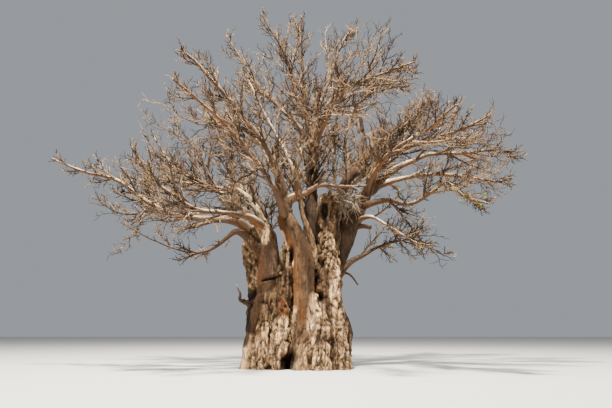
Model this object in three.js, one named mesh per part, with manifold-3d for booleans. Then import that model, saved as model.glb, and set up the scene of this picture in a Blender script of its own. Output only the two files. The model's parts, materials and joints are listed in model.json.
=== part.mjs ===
import * as THREE from 'three';
import Module from 'manifold-3d';

const wasm = await Module();
wasm.setup();
const { Manifold, Mesh } = wasm;

// Units: every table below is in metres and every vertex is in millimetres
const METRE = 1000;

// Seats: the clear gap where one piece meets the next, in metres
const SEAT_GAP = 0.0003;
const REST_GAP = 0.0004;

// Trunk
const CORE_SIDES = 12;
const RIB_SIDES = 6;
const STEM_COLUMN_SIDES = 8;
const COLUMN_RINGS = 6;
const FREE_STEM_RINGS = 4;
const COLLAR_SIDES = 6;
const COLLAR_RINGS = 2;
const COLLAR_CLEAR = 0.03;
const COLLAR_STEP = 0.01;
const COLLAR_LAST = 0.4;

// Boughs
const BOUGH_SIDES = 6;
const BOUGH_RINGS = 5;
const BOUGH_FLARE = 0.35;
const BOUGH_FLARE_FADE = 9;

// Dead snags on the trunk
const SNAG_SIDES = 5;
const SNAG_RINGS = 5;

// Twig masses
const STEM_SIDES = 5;
const STEM_RINGS = 5;
const STEM_TIP_RADIUS = 0.03;
const SHOOTS = 8;
const SHOOT_FIRST = 0.08;
const SHOOT_TRIES = 4;
const SHOOT_SHRINK = 0.72;
const SHOOT_RADIUS_SHARE = 0.7;
const SHOOT_TAPER = 0.85;
const SHOOT_SIDES = 3;
const SHOOT_RINGS = 3;
const SHOOT_THINNING = 0.8;
const TURN_JITTER = 0.8;
const TWIG_RINGS = 2;
const TWIG_RADIUS_SHARE = 0.5;
const TWIG_MIN_RADIUS = 0.011;
const GOLDEN_TURN = 2.399963;
const LIFT = 0.12;
const BEND_LIFT = 0.1;
const BEND_JITTER = 0.55;
const SPACE_MARGIN = 0.07;
const LOWEST_TWIG = 2.6;
const LIMB_CLEAR = 0.05;
const SPACE_SAMPLES = [0.35, 0.7, 1];

// Ranges for the dice: the least value and the spread above it
const SHOOT_LEAN = [0.4, 0.4];
const SHOOT_LENGTH = [0.8, 0.35];
const TWIG_PLACE = [0.42, 0.12];
const TWIG_TURN = [0, 1.2];
const TWIG_LEAN = [0.6, 0.4];
const TWIG_LENGTH = [0.3, 0.2];
const STICK_LENGTH = [0.7, 0.6];

// Clearance tests: capsules to a column, a bough and a mass's stem
const COLUMN_PIECES = 8;
const STEM_PIECES = 6;

// Small slivers left by a union are folded away below this size, in millimetres
const SLIVER = 0.05;

// Middle of the trunk: x, y, z and radius of each level
const CORE = [
  [0.0, 0.0, -0.4, 2.15],
  [0.0, 0.0, 1.0, 1.85],
  [0.0, 0.1, 2.6, 1.62],
  [0.1, 0.1, 4.2, 1.45],
  [0.1, 0.1, 5.1, 0.95],
];

// Ribs that stand round the foot of the trunk, front ones first
const RIBS = {
  farLeft: [
    [-1.98, -0.85, -0.4, 0.5],
    [-1.94, -0.75, 1.5, 0.34],
    [-1.92, -0.7, 3.0, 0.32],
    [-1.98, -0.8, 4.3, 0.32],
    [-2.12, -1.2, 5.1, 0.28],
    [-2.3, -1.55, 5.6, 0.18],
  ],
  buttress: [
    [-2.3, -1.3, -0.4, 0.3],
    [-2.08, -1.5, 1.0, 0.23],
    [-1.8, -1.66, 2.2, 0.2],
    [-1.62, -1.6, 3.3, 0.14],
  ],
  leftInner: [
    [-0.82, -1.7, -0.4, 0.52],
    [-0.78, -1.75, 1.5, 0.38],
    [-0.66, -1.65, 3.0, 0.34],
    [-0.46, -1.5, 4.6, 0.33],
    [-0.4, -1.4, 5.5, 0.29],
  ],
  rootRidge: [
    [0.92, -2.15, -0.4, 0.55],
    [0.94, -2.12, 0.9, 0.45],
    [0.91, -2.05, 1.9, 0.38],
    [0.81, -1.9, 2.6, 0.26],
    [0.7, -1.7, 3.2, 0.12],
  ],
  farRight: [
    [2.0, 0.3, -0.4, 0.5],
    [2.1, 0.3, 1.5, 0.38],
    [1.82, 0.3, 2.5, 0.28],
    [1.5, 0.2, 3.4, 0.16],
  ],
  strut: [
    [0.1, -1.72, 7.4, 0.1],
    [0.16, -1.75, 6.9, 0.1],
    [0.3, -1.8, 6.3, 0.11],
    [0.56, -1.86, 5.6, 0.13],
    [0.74, -1.8, 4.9, 0.12],
    [0.78, -1.7, 4.2, 0.1],
  ],
};

// Ribs at the back repeat one shape round an ellipse: angle, foot radius, top height
const BACK_RIBS = [
  [28, 0.56, 3.9],
  [58, 0.6, 4.6],
  [88, 0.5, 4.2],
  [116, 0.6, 4.8],
  [143, 0.52, 4.3],
  [170, 0.55, 4.7],
];
const BACK_RIB_REACH = 1.98;
const BACK_RIB_LEAN_IN = 0.62;

// Stems that rise out of the trunk
const STEMS = {
  left: [
    [-1.5, -1.4, -0.4, 0.66],
    [-1.4, -1.45, 1.5, 0.5],
    [-1.3, -1.4, 2.9, 0.46],
    [-1.3, -1.3, 4.4, 0.46],
    [-1.4, -1.2, 5.5, 0.47],
    [-1.45, -1.15, 6.3, 0.34],
  ],
  hook: [
    [0.2, -1.95, -0.4, 0.62],
    [0.28, -1.95, 1.4, 0.48],
    [0.28, -1.9, 2.9, 0.44],
    [0.2, -1.8, 4.6, 0.45],
    [-0.22, -1.8, 5.7, 0.42],
    [-0.52, -1.8, 6.4, 0.36],
    [-0.58, -1.85, 7.05, 0.26],
  ],
  hookArm: [
    [-0.6, -1.82, 6.7, 0.3],
    [-0.45, -1.8, 7.2, 0.26],
    [-0.1, -1.78, 7.42, 0.21],
    [0.4, -1.7, 7.62, 0.15],
    [0.95, -1.5, 7.98, 0.1],
    [1.6, -1.35, 7.98, 0.08],
    [2.4, -1.2, 8.0, 0.065],
    [3.1, -1.15, 8.05, 0.05],
  ],
  middle: [
    [0.55, -0.2, 2.5, 0.52],
    [0.6, -0.2, 4.5, 0.46],
    [0.6, -0.15, 5.8, 0.36],
    [0.6, 0.0, 7.6, 0.27],
    [0.66, 0.0, 9.4, 0.21],
    [0.7, 0.0, 11.3, 0.16],
  ],
  broken: [
    [1.65, -1.6, -0.4, 0.66],
    [1.5, -1.45, 1.5, 0.52],
    [1.35, -1.2, 2.9, 0.47],
    [1.35, -0.9, 5.1, 0.46],
    [1.32, -0.7, 6.6, 0.48],
    [1.36, -0.64, 7.4, 0.45],
    [1.5, -0.55, 7.95, 0.3],
  ],
  right: [
    [1.95, -0.8, -0.4, 0.5],
    [1.85, -0.7, 1.5, 0.38],
    [1.56, -0.5, 2.9, 0.34],
    [1.54, -0.4, 3.7, 0.37],
    [1.84, -0.2, 5.0, 0.45],
    [2.25, 0.0, 6.2, 0.49],
    [2.92, 0.2, 7.5, 0.42],
    [3.7, 0.4, 8.55, 0.25],
  ],
  rightStub: [
    [2.3, 0.0, 6.15, 0.2],
    [2.85, -0.1, 6.35, 0.13],
    [3.42, -0.1, 6.32, 0.1],
  ],
  backRight: [
    [1.3, 1.2, 2.5, 0.4],
    [1.55, 1.2, 5.0, 0.4],
    [1.85, 1.1, 7.0, 0.34],
    [2.3, 1.1, 8.7, 0.27],
    [2.85, 1.45, 9.5, 0.24],
    [3.3, 1.8, 10.25, 0.2],
  ],
  backLeft: [
    [-1.3, 1.0, 2.5, 0.4],
    [-1.45, 1.0, 4.6, 0.4],
    [-1.6, 0.95, 5.8, 0.34],
    [-1.68, 0.9, 6.5, 0.25],
  ],
};

// Stems that stand free above this share of their path are pieces of their own
const FREE_STEMS = { middle: 0.44, right: 0.65, backRight: 0.4 };
const FREE_STEM_NAMES = { middle: 'stem_middle', right: 'stem_right', backRight: 'stem_back_right' };
const STUB_HOSTS = { rightStub: 'right' };

// Hollows in the bark: centre, half sizes, and tilt in degrees as seen from the front
const HOLLOWS = [
  { at: [1.2, -1.12, 6.95], half: [0.17, 0.3, 0.42], tilt: 0 },
  { at: [-0.25, -2.1, 4.8], half: [0.13, 0.45, 0.38], tilt: 0 },
  { at: [-0.32, -2.35, 0.35], half: [0.24, 0.5, 0.5], tilt: 0 },
  { at: [0.98, -1.8, 3.05], half: [0.12, 0.35, 0.3], tilt: 0 },
  { at: [-1.34, -1.88, 3.74], half: [0.34, 0.16, 0.05], tilt: -15 },
];

// Limbs: root and tip radius, share of the path that is solid bough, reach of the
// shoots round the rest, and the path from inside a stem to the last twig
const LIMBS = {
  left_low: {
    root: 0.2, tip: 0.09, split: 0.4, reach: 1.7, shoots: 4,
    path: [[-1.5, -1.3, 4.85], [-2.0, -1.7, 5.4], [-2.6, -2.0, 5.8], [-3.1, -2.2, 5.5],
      [-3.7, -2.3, 5.0], [-4.6, -2.5, 4.85], [-5.9, -2.8, 5.25], [-7.4, -3.1, 6.0]],
  },
  left_far: {
    root: 0.26, tip: 0.1, split: 0.38, reach: 2.6,
    path: [[-1.4, -1.25, 5.5], [-2.1, -1.5, 5.95], [-2.9, -1.6, 6.35], [-4.3, -1.7, 6.4],
      [-5.6, -1.8, 6.6], [-6.7, -1.8, 7.2], [-8.1, -1.6, 8.2], [-9.6, -1.4, 8.6], [-11.4, -1.0, 9.4]],
  },
  left_mid: {
    root: 0.2, tip: 0.09, split: 0.32, reach: 3.2,
    path: [[-1.5, -1.0, 6.1], [-1.95, -0.4, 7.1], [-2.8, 0.2, 8.1], [-3.9, 0.8, 8.4],
      [-5.4, 1.4, 8.8], [-7.1, 2.0, 9.1], [-9.2, 2.6, 9.2]],
  },
  left_front: {
    root: 0.18, tip: 0.08, split: 0.34, reach: 2.9,
    path: [[-1.45, -1.25, 6.0], [-2.1, -2.2, 6.4], [-3.2, -3.0, 6.45], [-4.2, -3.6, 6.5],
      [-5.1, -4.0, 7.0], [-5.9, -4.4, 7.7], [-6.6, -4.7, 8.8]],
  },
  left_back: {
    root: 0.2, tip: 0.09, split: 0.34, reach: 3.2,
    path: [[-1.62, 0.92, 6.1], [-2.2, 1.0, 6.9], [-2.95, 1.3, 7.7], [-4.6, 2.2, 8.8],
      [-5.7, 2.6, 9.5], [-6.8, 3.0, 10.3], [-8.0, 3.6, 12.0]],
  },
  left_back_high: {
    root: 0.19, tip: 0.09, split: 0.37, reach: 3.1,
    path: [[-1.58, 0.98, 5.7], [-1.7, 1.75, 7.2], [-2.4, 2.2, 8.2], [-3.3, 2.5, 9.1],
      [-3.5, 2.6, 10.3], [-3.9, 2.9, 11.9], [-5.3, 3.4, 13.5]],
  },
  back_left: {
    root: 0.2, tip: 0.09, split: 0.34, reach: 3.6,
    path: [[-1.45, 1.05, 4.6], [-1.7, 2.3, 6.4], [-2.3, 4.0, 8.0], [-3.2, 6.0, 9.4], [-4.2, 7.8, 10.8]],
  },
  high_left: {
    root: 0.22, tip: 0.1, split: 0.38, reach: 3.0,
    path: [[-0.57, -1.82, 6.7], [-0.7, -2.0, 7.8], [-1.1, -2.4, 9.0], [-1.8, -2.8, 10.0],
      [-2.8, -3.2, 11.2], [-4.0, -3.8, 12.4], [-4.9, -4.3, 13.2]],
  },
  front_left: {
    root: 0.18, tip: 0.08, split: 0.34, reach: 2.7,
    path: [[-0.5, -1.8, 6.3], [-0.95, -2.9, 7.4], [-1.9, -4.4, 8.6], [-3.2, -6.1, 9.7], [-4.4, -7.6, 10.4]],
  },
  high_left_inner: {
    root: 0.15, tip: 0.07, split: 0.32, reach: 3.0,
    path: [[0.05, -1.8, 7.3], [-0.1, -2.1, 8.2], [-0.6, -1.8, 9.5], [-1.2, -1.3, 10.8],
      [-1.9, -1.0, 12.2], [-2.4, -0.8, 13.4]],
  },
  top_left: {
    root: 0.13, tip: 0.07, split: 0.29, reach: 2.9,
    path: [[0.69, 0.0, 10.9], [0.1, -0.1, 12.1], [-0.3, -0.1, 13.7], [-0.8, -0.5, 15.1], [-1.8, -1.0, 16.7]],
  },
  top_middle: {
    root: 0.12, tip: 0.06, split: 0.29, reach: 3.0,
    path: [[0.7, 0.0, 10.9], [0.5, 0.6, 12.4], [0.3, 0.9, 14.0], [0.15, 0.8, 15.7], [0.1, 0.4, 17.4]],
  },
  top_far_left: {
    root: 0.13, tip: 0.07, split: 0.32, reach: 3.0,
    path: [[0.68, 0.0, 10.2], [-0.1, 0.6, 11.6], [-1.1, 0.8, 12.7], [-2.4, 0.9, 14.3], [-3.7, 0.6, 16.4]],
  },
  top_right: {
    root: 0.14, tip: 0.07, split: 0.29, reach: 2.7,
    path: [[0.7, 0.0, 10.9], [1.05, 0.1, 12.5], [1.7, 0.4, 14.3], [2.15, 0.7, 15.9], [2.7, 0.9, 17.0]],
  },
  high_right_front: {
    root: 0.14, tip: 0.07, split: 0.34, reach: 3.2,
    path: [[0.7, -0.03, 10.4], [1.4, -0.9, 12.0], [2.5, -1.6, 12.7], [3.8, -2.5, 12.9], [5.0, -3.4, 13.1]],
  },
  high_right_back: {
    root: 0.16, tip: 0.07, split: 0.36, reach: 2.9,
    path: [[3.25, 1.76, 10.1], [3.35, 2.1, 11.4], [3.25, 2.4, 13.0], [3.6, 2.6, 14.0],
      [4.8, 3.0, 14.5], [6.1, 3.5, 14.9]],
  },
  right_back_rising: {
    root: 0.17, tip: 0.08, split: 0.32, reach: 3.1,
    path: [[3.2, 1.72, 10.05], [4.3, 2.4, 11.2], [5.5, 3.1, 12.4], [6.6, 3.8, 13.6], [7.5, 4.3, 14.5]],
  },
  right_rising: {
    root: 0.17, tip: 0.08, split: 0.32, reach: 3.0,
    path: [[3.4, 0.3, 8.1], [3.75, -0.7, 9.3], [4.9, -1.4, 9.7], [5.9, -2.0, 9.95], [7.1, -2.6, 10.2], [8.2, -3.2, 10.6]],
  },
  right_far: {
    root: 0.19, tip: 0.08, split: 0.34, reach: 3.1,
    path: [[3.55, 0.36, 8.35], [4.8, 0.3, 9.3], [6.4, 0.4, 10.0], [7.9, 0.2, 10.0], [9.2, 0.0, 10.1], [10.5, -0.4, 9.9]],
  },
  right_back: {
    root: 0.18, tip: 0.08, split: 0.34, reach: 3.0,
    path: [[3.5, 0.36, 8.25], [4.6, 1.4, 8.9], [6.4, 2.0, 9.4], [8.6, 2.7, 9.5], [10.2, 3.0, 9.3], [11.1, 3.2, 9.4]],
  },
  right_front: {
    root: 0.15, tip: 0.07, split: 0.34, reach: 3.0,
    path: [[2.85, 0.15, 7.3], [4.0, -1.1, 7.4], [4.8, -2.2, 6.95], [5.55, -3.2, 7.2], [6.05, -4.2, 7.4],
      [6.6, -5.1, 6.6], [7.1, -5.8, 6.2]],
  },
  right_front_low: {
    root: 0.13, tip: 0.06, split: 0.36, reach: 2.2, shoots: 6,
    path: [[2.35, 0.0, 6.3], [3.2, -0.7, 6.7], [4.0, -1.7, 6.1], [4.8, -2.7, 5.3], [5.6, -3.6, 4.9]],
  },
  right_back_low: {
    root: 0.19, tip: 0.06, split: 0.34, reach: 2.3, shoots: 6,
    path: [[1.75, -0.3, 4.1], [2.45, 0.5, 4.75], [3.5, 1.5, 5.4], [4.6, 2.4, 5.9], [5.5, 3.1, 6.2], [6.3, 3.7, 6.4]],
  },
  back_right: {
    root: 0.2, tip: 0.09, split: 0.34, reach: 3.6,
    path: [[1.95, 1.1, 7.3], [2.5, 2.5, 8.7], [3.6, 4.4, 10.1], [4.7, 6.4, 11.2], [5.6, 8.2, 12.0]],
  },
  back_middle: {
    root: 0.17, tip: 0.08, split: 0.34, reach: 3.6,
    path: [[0.61, 0.0, 7.8], [0.5, 1.7, 9.2], [0.3, 3.8, 10.8], [0.0, 6.0, 12.1], [-0.2, 7.8, 13.0]],
  },
  front_middle: {
    root: 0.14, tip: 0.07, split: 0.34, reach: 3.2,
    path: [[0.65, 0.0, 8.9], [0.9, -1.6, 10.0], [1.3, -3.8, 10.4], [1.7, -6.0, 10.4], [1.9, -7.8, 10.5]],
  },
  front_right: {
    root: 0.17, tip: 0.08, split: 0.34, reach: 2.8,
    path: [[3.1, 0.25, 7.7], [3.45, -1.4, 8.6], [4.2, -3.4, 9.1], [5.1, -5.4, 9.3], [5.8, -7.2, 9.6]],
  },
};

// Dead snags low on the trunk carry no twigs
const SNAGS = {
  snag_left: { root: 0.08, tip: 0.02, path: [[-1.95, -0.72, 2.7], [-2.55, -0.8, 2.92], [-2.56, -0.8, 3.2], [-2.74, -0.8, 3.6]] },
  snag_right: { root: 0.07, tip: 0.02, path: [[1.66, -0.38, 4.0], [2.12, -0.35, 4.16], [2.4, -0.35, 4.05], [2.7, -0.4, 3.6]] },
};

// Dense tangles of sticks lodged in two forks: centre, half sizes and stick count
const TANGLES = {
  tangle_right: { at: [2.15, -0.62, 7.5], half: [0.74, 0.4, 0.45], sticks: 34, stick: 0.9, droop: -0.35, seed: 71 },
  tangle_left: { at: [-3.0, -0.25, 7.55], half: [0.62, 0.4, 0.32], sticks: 30, stick: 0.6, droop: -0.1, seed: 83 },
};
const STICK_RADIUS = 0.028;
const STICK_ROOT_DEPTH = 0.5;
const STICK_SLANT = 1.1;
const TANGLE_ROOM = 0.6;
const TANGLE_CORE_DETAIL = 1;

const UP = new THREE.Vector3(0, 0, 1);

// Seeded dice: the same seed always gives the same row of numbers from 0 to 1
function dice(seed) {
  let state = seed >>> 0;
  return () => {
    state = (state + 0x6d2b79f5) >>> 0;
    let mixed = state;
    mixed = Math.imul(mixed ^ (mixed >>> 15), mixed | 1);
    mixed ^= mixed + Math.imul(mixed ^ (mixed >>> 7), mixed | 61);
    return ((mixed ^ (mixed >>> 14)) >>> 0) / 4294967296;
  };
}

function within(range, roll) {
  return range[0] + range[1] * roll();
}

function childSeed(seed, index) {
  return (Math.imul(seed, 31) + (index + 1) * 7919) >>> 0;
}

function smoothPath(points) {
  const corners = points.map((p) => new THREE.Vector3(p[0], p[1], p[2]));
  return new THREE.CatmullRomCurve3(corners, false, 'catmullrom', 0.5);
}

function pointAt(curve, t) {
  return curve.getPoint(Math.min(Math.max(t, 0), 1));
}

function tangentAt(curve, t) {
  const step = 0.002;
  return pointAt(curve, t + step).sub(pointAt(curve, t - step)).normalize();
}

function acrossOf(direction) {
  const helper = Math.abs(direction.z) < 0.9 ? UP : new THREE.Vector3(1, 0, 0);
  return new THREE.Vector3().crossVectors(direction, helper).normalize();
}

// Rings along a path, each one square to it, with the turn carried on from ring to ring
function ringsAlong(curve, from, to, count, radiusAt) {
  const rings = [];
  let across = acrossOf(tangentAt(curve, from));
  for (let i = 0; i < count; i += 1) {
    const t = from + ((to - from) * i) / (count - 1);
    const along = tangentAt(curve, t);
    across = across.clone().addScaledVector(along, -across.dot(along)).normalize();
    rings.push({ centre: pointAt(curve, t), along, across: across.clone(), radius: radiusAt(t) });
  }
  return rings;
}

// A closed tube over rings; a pointed one closes on the last ring's centre
function tubeGeometry(rings, sides, pointed) {
  const positions = [];
  const faces = [];
  const full = pointed ? rings.length - 1 : rings.length;
  for (let i = 0; i < full; i += 1) {
    const { centre, along, across, radius } = rings[i];
    const other = new THREE.Vector3().crossVectors(along, across);
    for (let k = 0; k < sides; k += 1) {
      const angle = (2 * Math.PI * k) / sides;
      const corner = centre.clone();
      corner.addScaledVector(across, radius * Math.cos(angle));
      corner.addScaledVector(other, radius * Math.sin(angle));
      positions.push(corner.x * METRE, corner.y * METRE, corner.z * METRE);
    }
  }
  for (let i = 0; i + 1 < full; i += 1) {
    for (let k = 0; k < sides; k += 1) {
      const a = i * sides + k;
      const b = i * sides + ((k + 1) % sides);
      faces.push(a, b, b + sides, a, b + sides, a + sides);
    }
  }
  for (let k = 1; k + 1 < sides; k += 1) {
    faces.push(0, k + 1, k);
  }
  const last = (full - 1) * sides;
  if (pointed) {
    const apex = rings[rings.length - 1].centre;
    positions.push(apex.x * METRE, apex.y * METRE, apex.z * METRE);
    for (let k = 0; k < sides; k += 1) {
      faces.push(last + k, last + ((k + 1) % sides), full * sides);
    }
  } else {
    for (let k = 1; k + 1 < sides; k += 1) {
      faces.push(last, last + k, last + k + 1);
    }
  }
  const geometry = new THREE.BufferGeometry();
  geometry.setAttribute('position', new THREE.Float32BufferAttribute(positions, 3));
  geometry.setIndex(faces);
  return geometry;
}

function solidOf(geometry) {
  const vertProperties = new Float32Array(geometry.attributes.position.array);
  const triVerts = new Uint32Array(geometry.index.array);
  return new Manifold(new Mesh({ numProp: 3, vertProperties, triVerts }));
}

function tube(rings, sides, pointed = false) {
  return solidOf(tubeGeometry(rings, sides, pointed));
}

// Columns: tables of x, y, z and radius, used for the core, the ribs and the stems
function columnOf(table, sides) {
  const curve = smoothPath(table);
  const radii = smoothPath(table.map((row) => [row[3], 0, 0]));
  return { curve, sides, radiusAt: (t) => Math.max(pointAt(radii, t).x, 0.01) };
}

function columnRings(column) {
  return ringsAlong(column.curve, 0, 1, COLUMN_RINGS, column.radiusAt);
}

// A stem's rings in two lots: those below the cut and those above it, with one shared ring
function splitRings(column, cut) {
  const below = ringsAlong(column.curve, 0, cut, FREE_STEM_RINGS, column.radiusAt);
  const above = ringsAlong(column.curve, cut, 1, FREE_STEM_RINGS, column.radiusAt);
  let across = below.at(-1).across.clone();
  for (const ring of above) {
    across = across.clone().addScaledVector(ring.along, -across.dot(ring.along)).normalize();
    ring.across = across.clone();
  }
  return { below, above };
}

function backRib([degrees, foot, top]) {
  const angle = THREE.MathUtils.degToRad(degrees);
  const level = (share, z, radius) => {
    const reach = BACK_RIB_REACH * (1 + (BACK_RIB_LEAN_IN - 1) * share);
    return [reach * Math.cos(angle), reach * Math.sin(angle), z, radius];
  };
  return [level(0, -0.4, foot), level(0.3, top * 0.35, foot * 0.75), level(0.6, top * 0.7, foot * 0.68), level(1, top, foot * 0.4)];
}

const core = columnOf(CORE, CORE_SIDES);
const ribs = [
  ...Object.values(RIBS).map((table) => columnOf(table, RIB_SIDES)),
  ...BACK_RIBS.map((row) => columnOf(backRib(row), RIB_SIDES)),
];
const stems = Object.fromEntries(
  Object.entries(STEMS).map(([name, table]) => [name, columnOf(table, STEM_COLUMN_SIDES)]),
);
const columns = [...ribs, ...Object.values(stems)];

// Capsules stand for limbs in the clearance tests: two ends and two radii
function capsulesOf(curve, from, to, pieces, radiusAt) {
  const list = [];
  for (let i = 0; i < pieces; i += 1) {
    const a = from + ((to - from) * i) / pieces;
    const b = from + ((to - from) * (i + 1)) / pieces;
    list.push({ a: pointAt(curve, a), b: pointAt(curve, b), ra: radiusAt(a), rb: radiusAt(b) });
  }
  return list;
}

// Distance from a point to a capsule's skin; below zero is inside
function skinDistance(point, capsule) {
  const axis = capsule.b.clone().sub(capsule.a);
  const share = THREE.MathUtils.clamp(point.clone().sub(capsule.a).dot(axis) / axis.lengthSq(), 0, 1);
  const nearest = capsule.a.clone().addScaledVector(axis, share);
  return point.distanceTo(nearest) - (capsule.ra + (capsule.rb - capsule.ra) * share);
}

function nearestSkin(point, capsules) {
  return capsules.reduce((best, capsule) => Math.min(best, skinDistance(point, capsule)), Infinity);
}

const trunkCapsules = [core, ...columns].flatMap((c) => capsulesOf(c.curve, 0, 1, COLUMN_PIECES, c.radiusAt));

// The free stem that a limb's first point lies in, or the trunk
function hostOf(point) {
  for (const [name, cut] of Object.entries(FREE_STEMS)) {
    const stem = stems[name];
    if (nearestSkin(point, capsulesOf(stem.curve, cut, 1, COLUMN_PIECES, stem.radiusAt)) < 0) {
      return name;
    }
  }
  return 'trunk';
}

// A limb: its path, its radius and the place where it leaves the trunk's collar
function limbOf(name, row, index) {
  const curve = smoothPath(row.path);
  const split = row.split ?? 1;
  const radiusAt = (t) => {
    const share = Math.min(t / split, 1);
    const flare = 1 + BOUGH_FLARE * Math.exp(-share * BOUGH_FLARE_FADE);
    return (row.root + (row.tip - row.root) * share) * flare;
  };
  let leave = COLLAR_STEP;
  while (leave < COLLAR_LAST && nearestSkin(pointAt(curve, leave), trunkCapsules) < radiusAt(leave) + COLLAR_CLEAR) {
    leave += COLLAR_STEP;
  }
  const host = hostOf(pointAt(curve, 0));
  return { name, row, curve, split, radiusAt, leave, host, seed: 1009 * (index + 1) };
}

const limbs = Object.entries(LIMBS).map(([name, row], i) => limbOf(name, row, i));
const snags = Object.entries(SNAGS).map(([name, row], i) => limbOf(name, row, i));

function shifted(rings, distance) {
  const [first, ...rest] = rings;
  const centre = first.centre.clone().addScaledVector(first.along, distance);
  return [{ ...first, centre }, ...rest];
}

function collarOf(limb) {
  return tube(ringsAlong(limb.curve, 0, limb.leave, COLLAR_RINGS, limb.radiusAt), COLLAR_SIDES);
}

// The bough's first ring copies the collar's last one, moved on by the seat gap
function boughOf(limb, to) {
  const collarEnd = ringsAlong(limb.curve, 0, limb.leave, COLLAR_RINGS, limb.radiusAt).at(-1);
  const rings = ringsAlong(limb.curve, limb.leave, to, BOUGH_RINGS, limb.radiusAt);
  let across = collarEnd.across.clone();
  for (const ring of rings) {
    across = across.clone().addScaledVector(ring.along, -across.dot(ring.along)).normalize();
    ring.across = across.clone();
  }
  return shifted(rings, SEAT_GAP);
}

function collarsOn(host) {
  return limbs.filter((limb) => limb.host === host).map(collarOf);
}

function trunkSolid() {
  const parts = [tube(columnRings(core), core.sides), ...ribs.map((rib) => tube(columnRings(rib), rib.sides))];
  for (const [name, stem] of Object.entries(stems)) {
    if (name in FREE_STEMS) {
      parts.push(tube(splitRings(stem, FREE_STEMS[name]).below, stem.sides));
    } else if (!(name in STUB_HOSTS)) {
      parts.push(tube(columnRings(stem), stem.sides));
    }
  }
  for (const snag of snags) {
    parts.push(tube(ringsAlong(snag.curve, 0, 1, SNAG_RINGS, snag.radiusAt), SNAG_SIDES));
  }
  let whole = Manifold.union([...parts, ...collarsOn('trunk')]).trimByPlane([0, 0, 1], 0);
  for (const hollow of HOLLOWS) {
    const bite = solidOf(roundBlank(0)).scale(hollow.half.map((h) => h * METRE));
    whole = whole.subtract(bite.rotate([0, hollow.tilt, 0]).translate(hollow.at.map((c) => c * METRE)));
  }
  return whole;
}

function freeStemSolid(name) {
  const stem = stems[name];
  const { above } = splitRings(stem, FREE_STEMS[name]);
  const stubs = Object.keys(STUB_HOSTS).filter((stub) => STUB_HOSTS[stub] === name).map((stub) => stems[stub]);
  const stubTubes = stubs.map((stub) => tube(columnRings(stub), stub.sides));
  return Manifold.union([tube(shifted(above, SEAT_GAP), stem.sides), ...stubTubes, ...collarsOn(name)]);
}

// A closed round blank of radius one, from an icosahedron with its corners shared
function roundBlank(detail) {
  const source = new THREE.IcosahedronGeometry(1, detail);
  const found = new Map();
  const positions = [];
  const faces = [];
  const array = source.attributes.position.array;
  for (let i = 0; i < array.length; i += 3) {
    const corner = [array[i], array[i + 1], array[i + 2]];
    const key = corner.map((value) => Math.round(value * 10000)).join(',');
    if (!found.has(key)) {
      found.set(key, positions.length / 3);
      positions.push(...corner);
    }
    faces.push(found.get(key));
  }
  const geometry = new THREE.BufferGeometry();
  geometry.setAttribute('position', new THREE.Float32BufferAttribute(positions, 3));
  geometry.setIndex(faces);
  return geometry;
}

// Every mass keeps to the space that is nearer to its own stem than to any other stem
const massAxes = limbs.map((limb) => capsulesOf(limb.curve, limb.split, 1, STEM_PIECES, () => 0));
const limbCapsules = [
  ...trunkCapsules,
  ...[...limbs, ...snags].flatMap((limb) => capsulesOf(limb.curve, 0, limb.split, COLUMN_PIECES, limb.radiusAt)),
];
const tangleCapsules = Object.values(TANGLES).map((t) => {
  const centre = new THREE.Vector3(...t.at);
  const end = centre.clone().add(new THREE.Vector3(0.01, 0, 0));
  const radius = Math.max(...t.half) + t.stick * TANGLE_ROOM;
  return { a: centre, b: end, ra: radius, rb: radius };
});

function spaceFor(index) {
  const own = massAxes[index];
  const others = massAxes.filter((axis, i) => i !== index).flat();
  const solid = [...limbCapsules, ...tangleCapsules];
  return (point, radius) => {
    if (point.z < LOWEST_TWIG) {
      return false;
    }
    const ownDistance = nearestSkin(point, own);
    if (nearestSkin(point, others) < ownDistance + SPACE_MARGIN) {
      return false;
    }
    return nearestSkin(point, solid) > radius + LIMB_CLEAR;
  };
}

// Shoot rule: leaves its parent at a lean, lifts, and bends half way along
function shootFrom(parent, t, turn, lean, length, roll) {
  const origin = pointAt(parent, t);
  const along = tangentAt(parent, t);
  const across = acrossOf(along);
  const other = new THREE.Vector3().crossVectors(along, across);
  const outward = across.multiplyScalar(Math.cos(turn)).addScaledVector(other, Math.sin(turn));
  const heading = along.multiplyScalar(Math.cos(lean)).addScaledVector(outward, Math.sin(lean));
  heading.addScaledVector(UP, LIFT).normalize();
  const jitter = new THREE.Vector3(roll() - 0.5, roll() - 0.5, roll() - 0.5);
  const second = heading.clone().addScaledVector(UP, BEND_LIFT).addScaledVector(jitter, BEND_JITTER).normalize();
  return (scale) => {
    const bend = origin.clone().addScaledVector(heading, length * 0.5 * scale);
    const end = bend.clone().addScaledVector(second, length * 0.5 * scale);
    return new THREE.CatmullRomCurve3([origin, bend, end], false, 'catmullrom', 0.5);
  };
}

function fits(curve, radius, inSpace) {
  return SPACE_SAMPLES.every((t) => inSpace(pointAt(curve, t), radius));
}

// The longest try that keeps to the mass's space, or nothing
function settle(pathAt, radius, inSpace) {
  let scale = 1;
  for (let i = 0; i < SHOOT_TRIES; i += 1) {
    const curve = pathAt(scale);
    if (fits(curve, radius, inSpace)) {
      return curve;
    }
    scale *= SHOOT_SHRINK;
  }
  return null;
}

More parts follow.
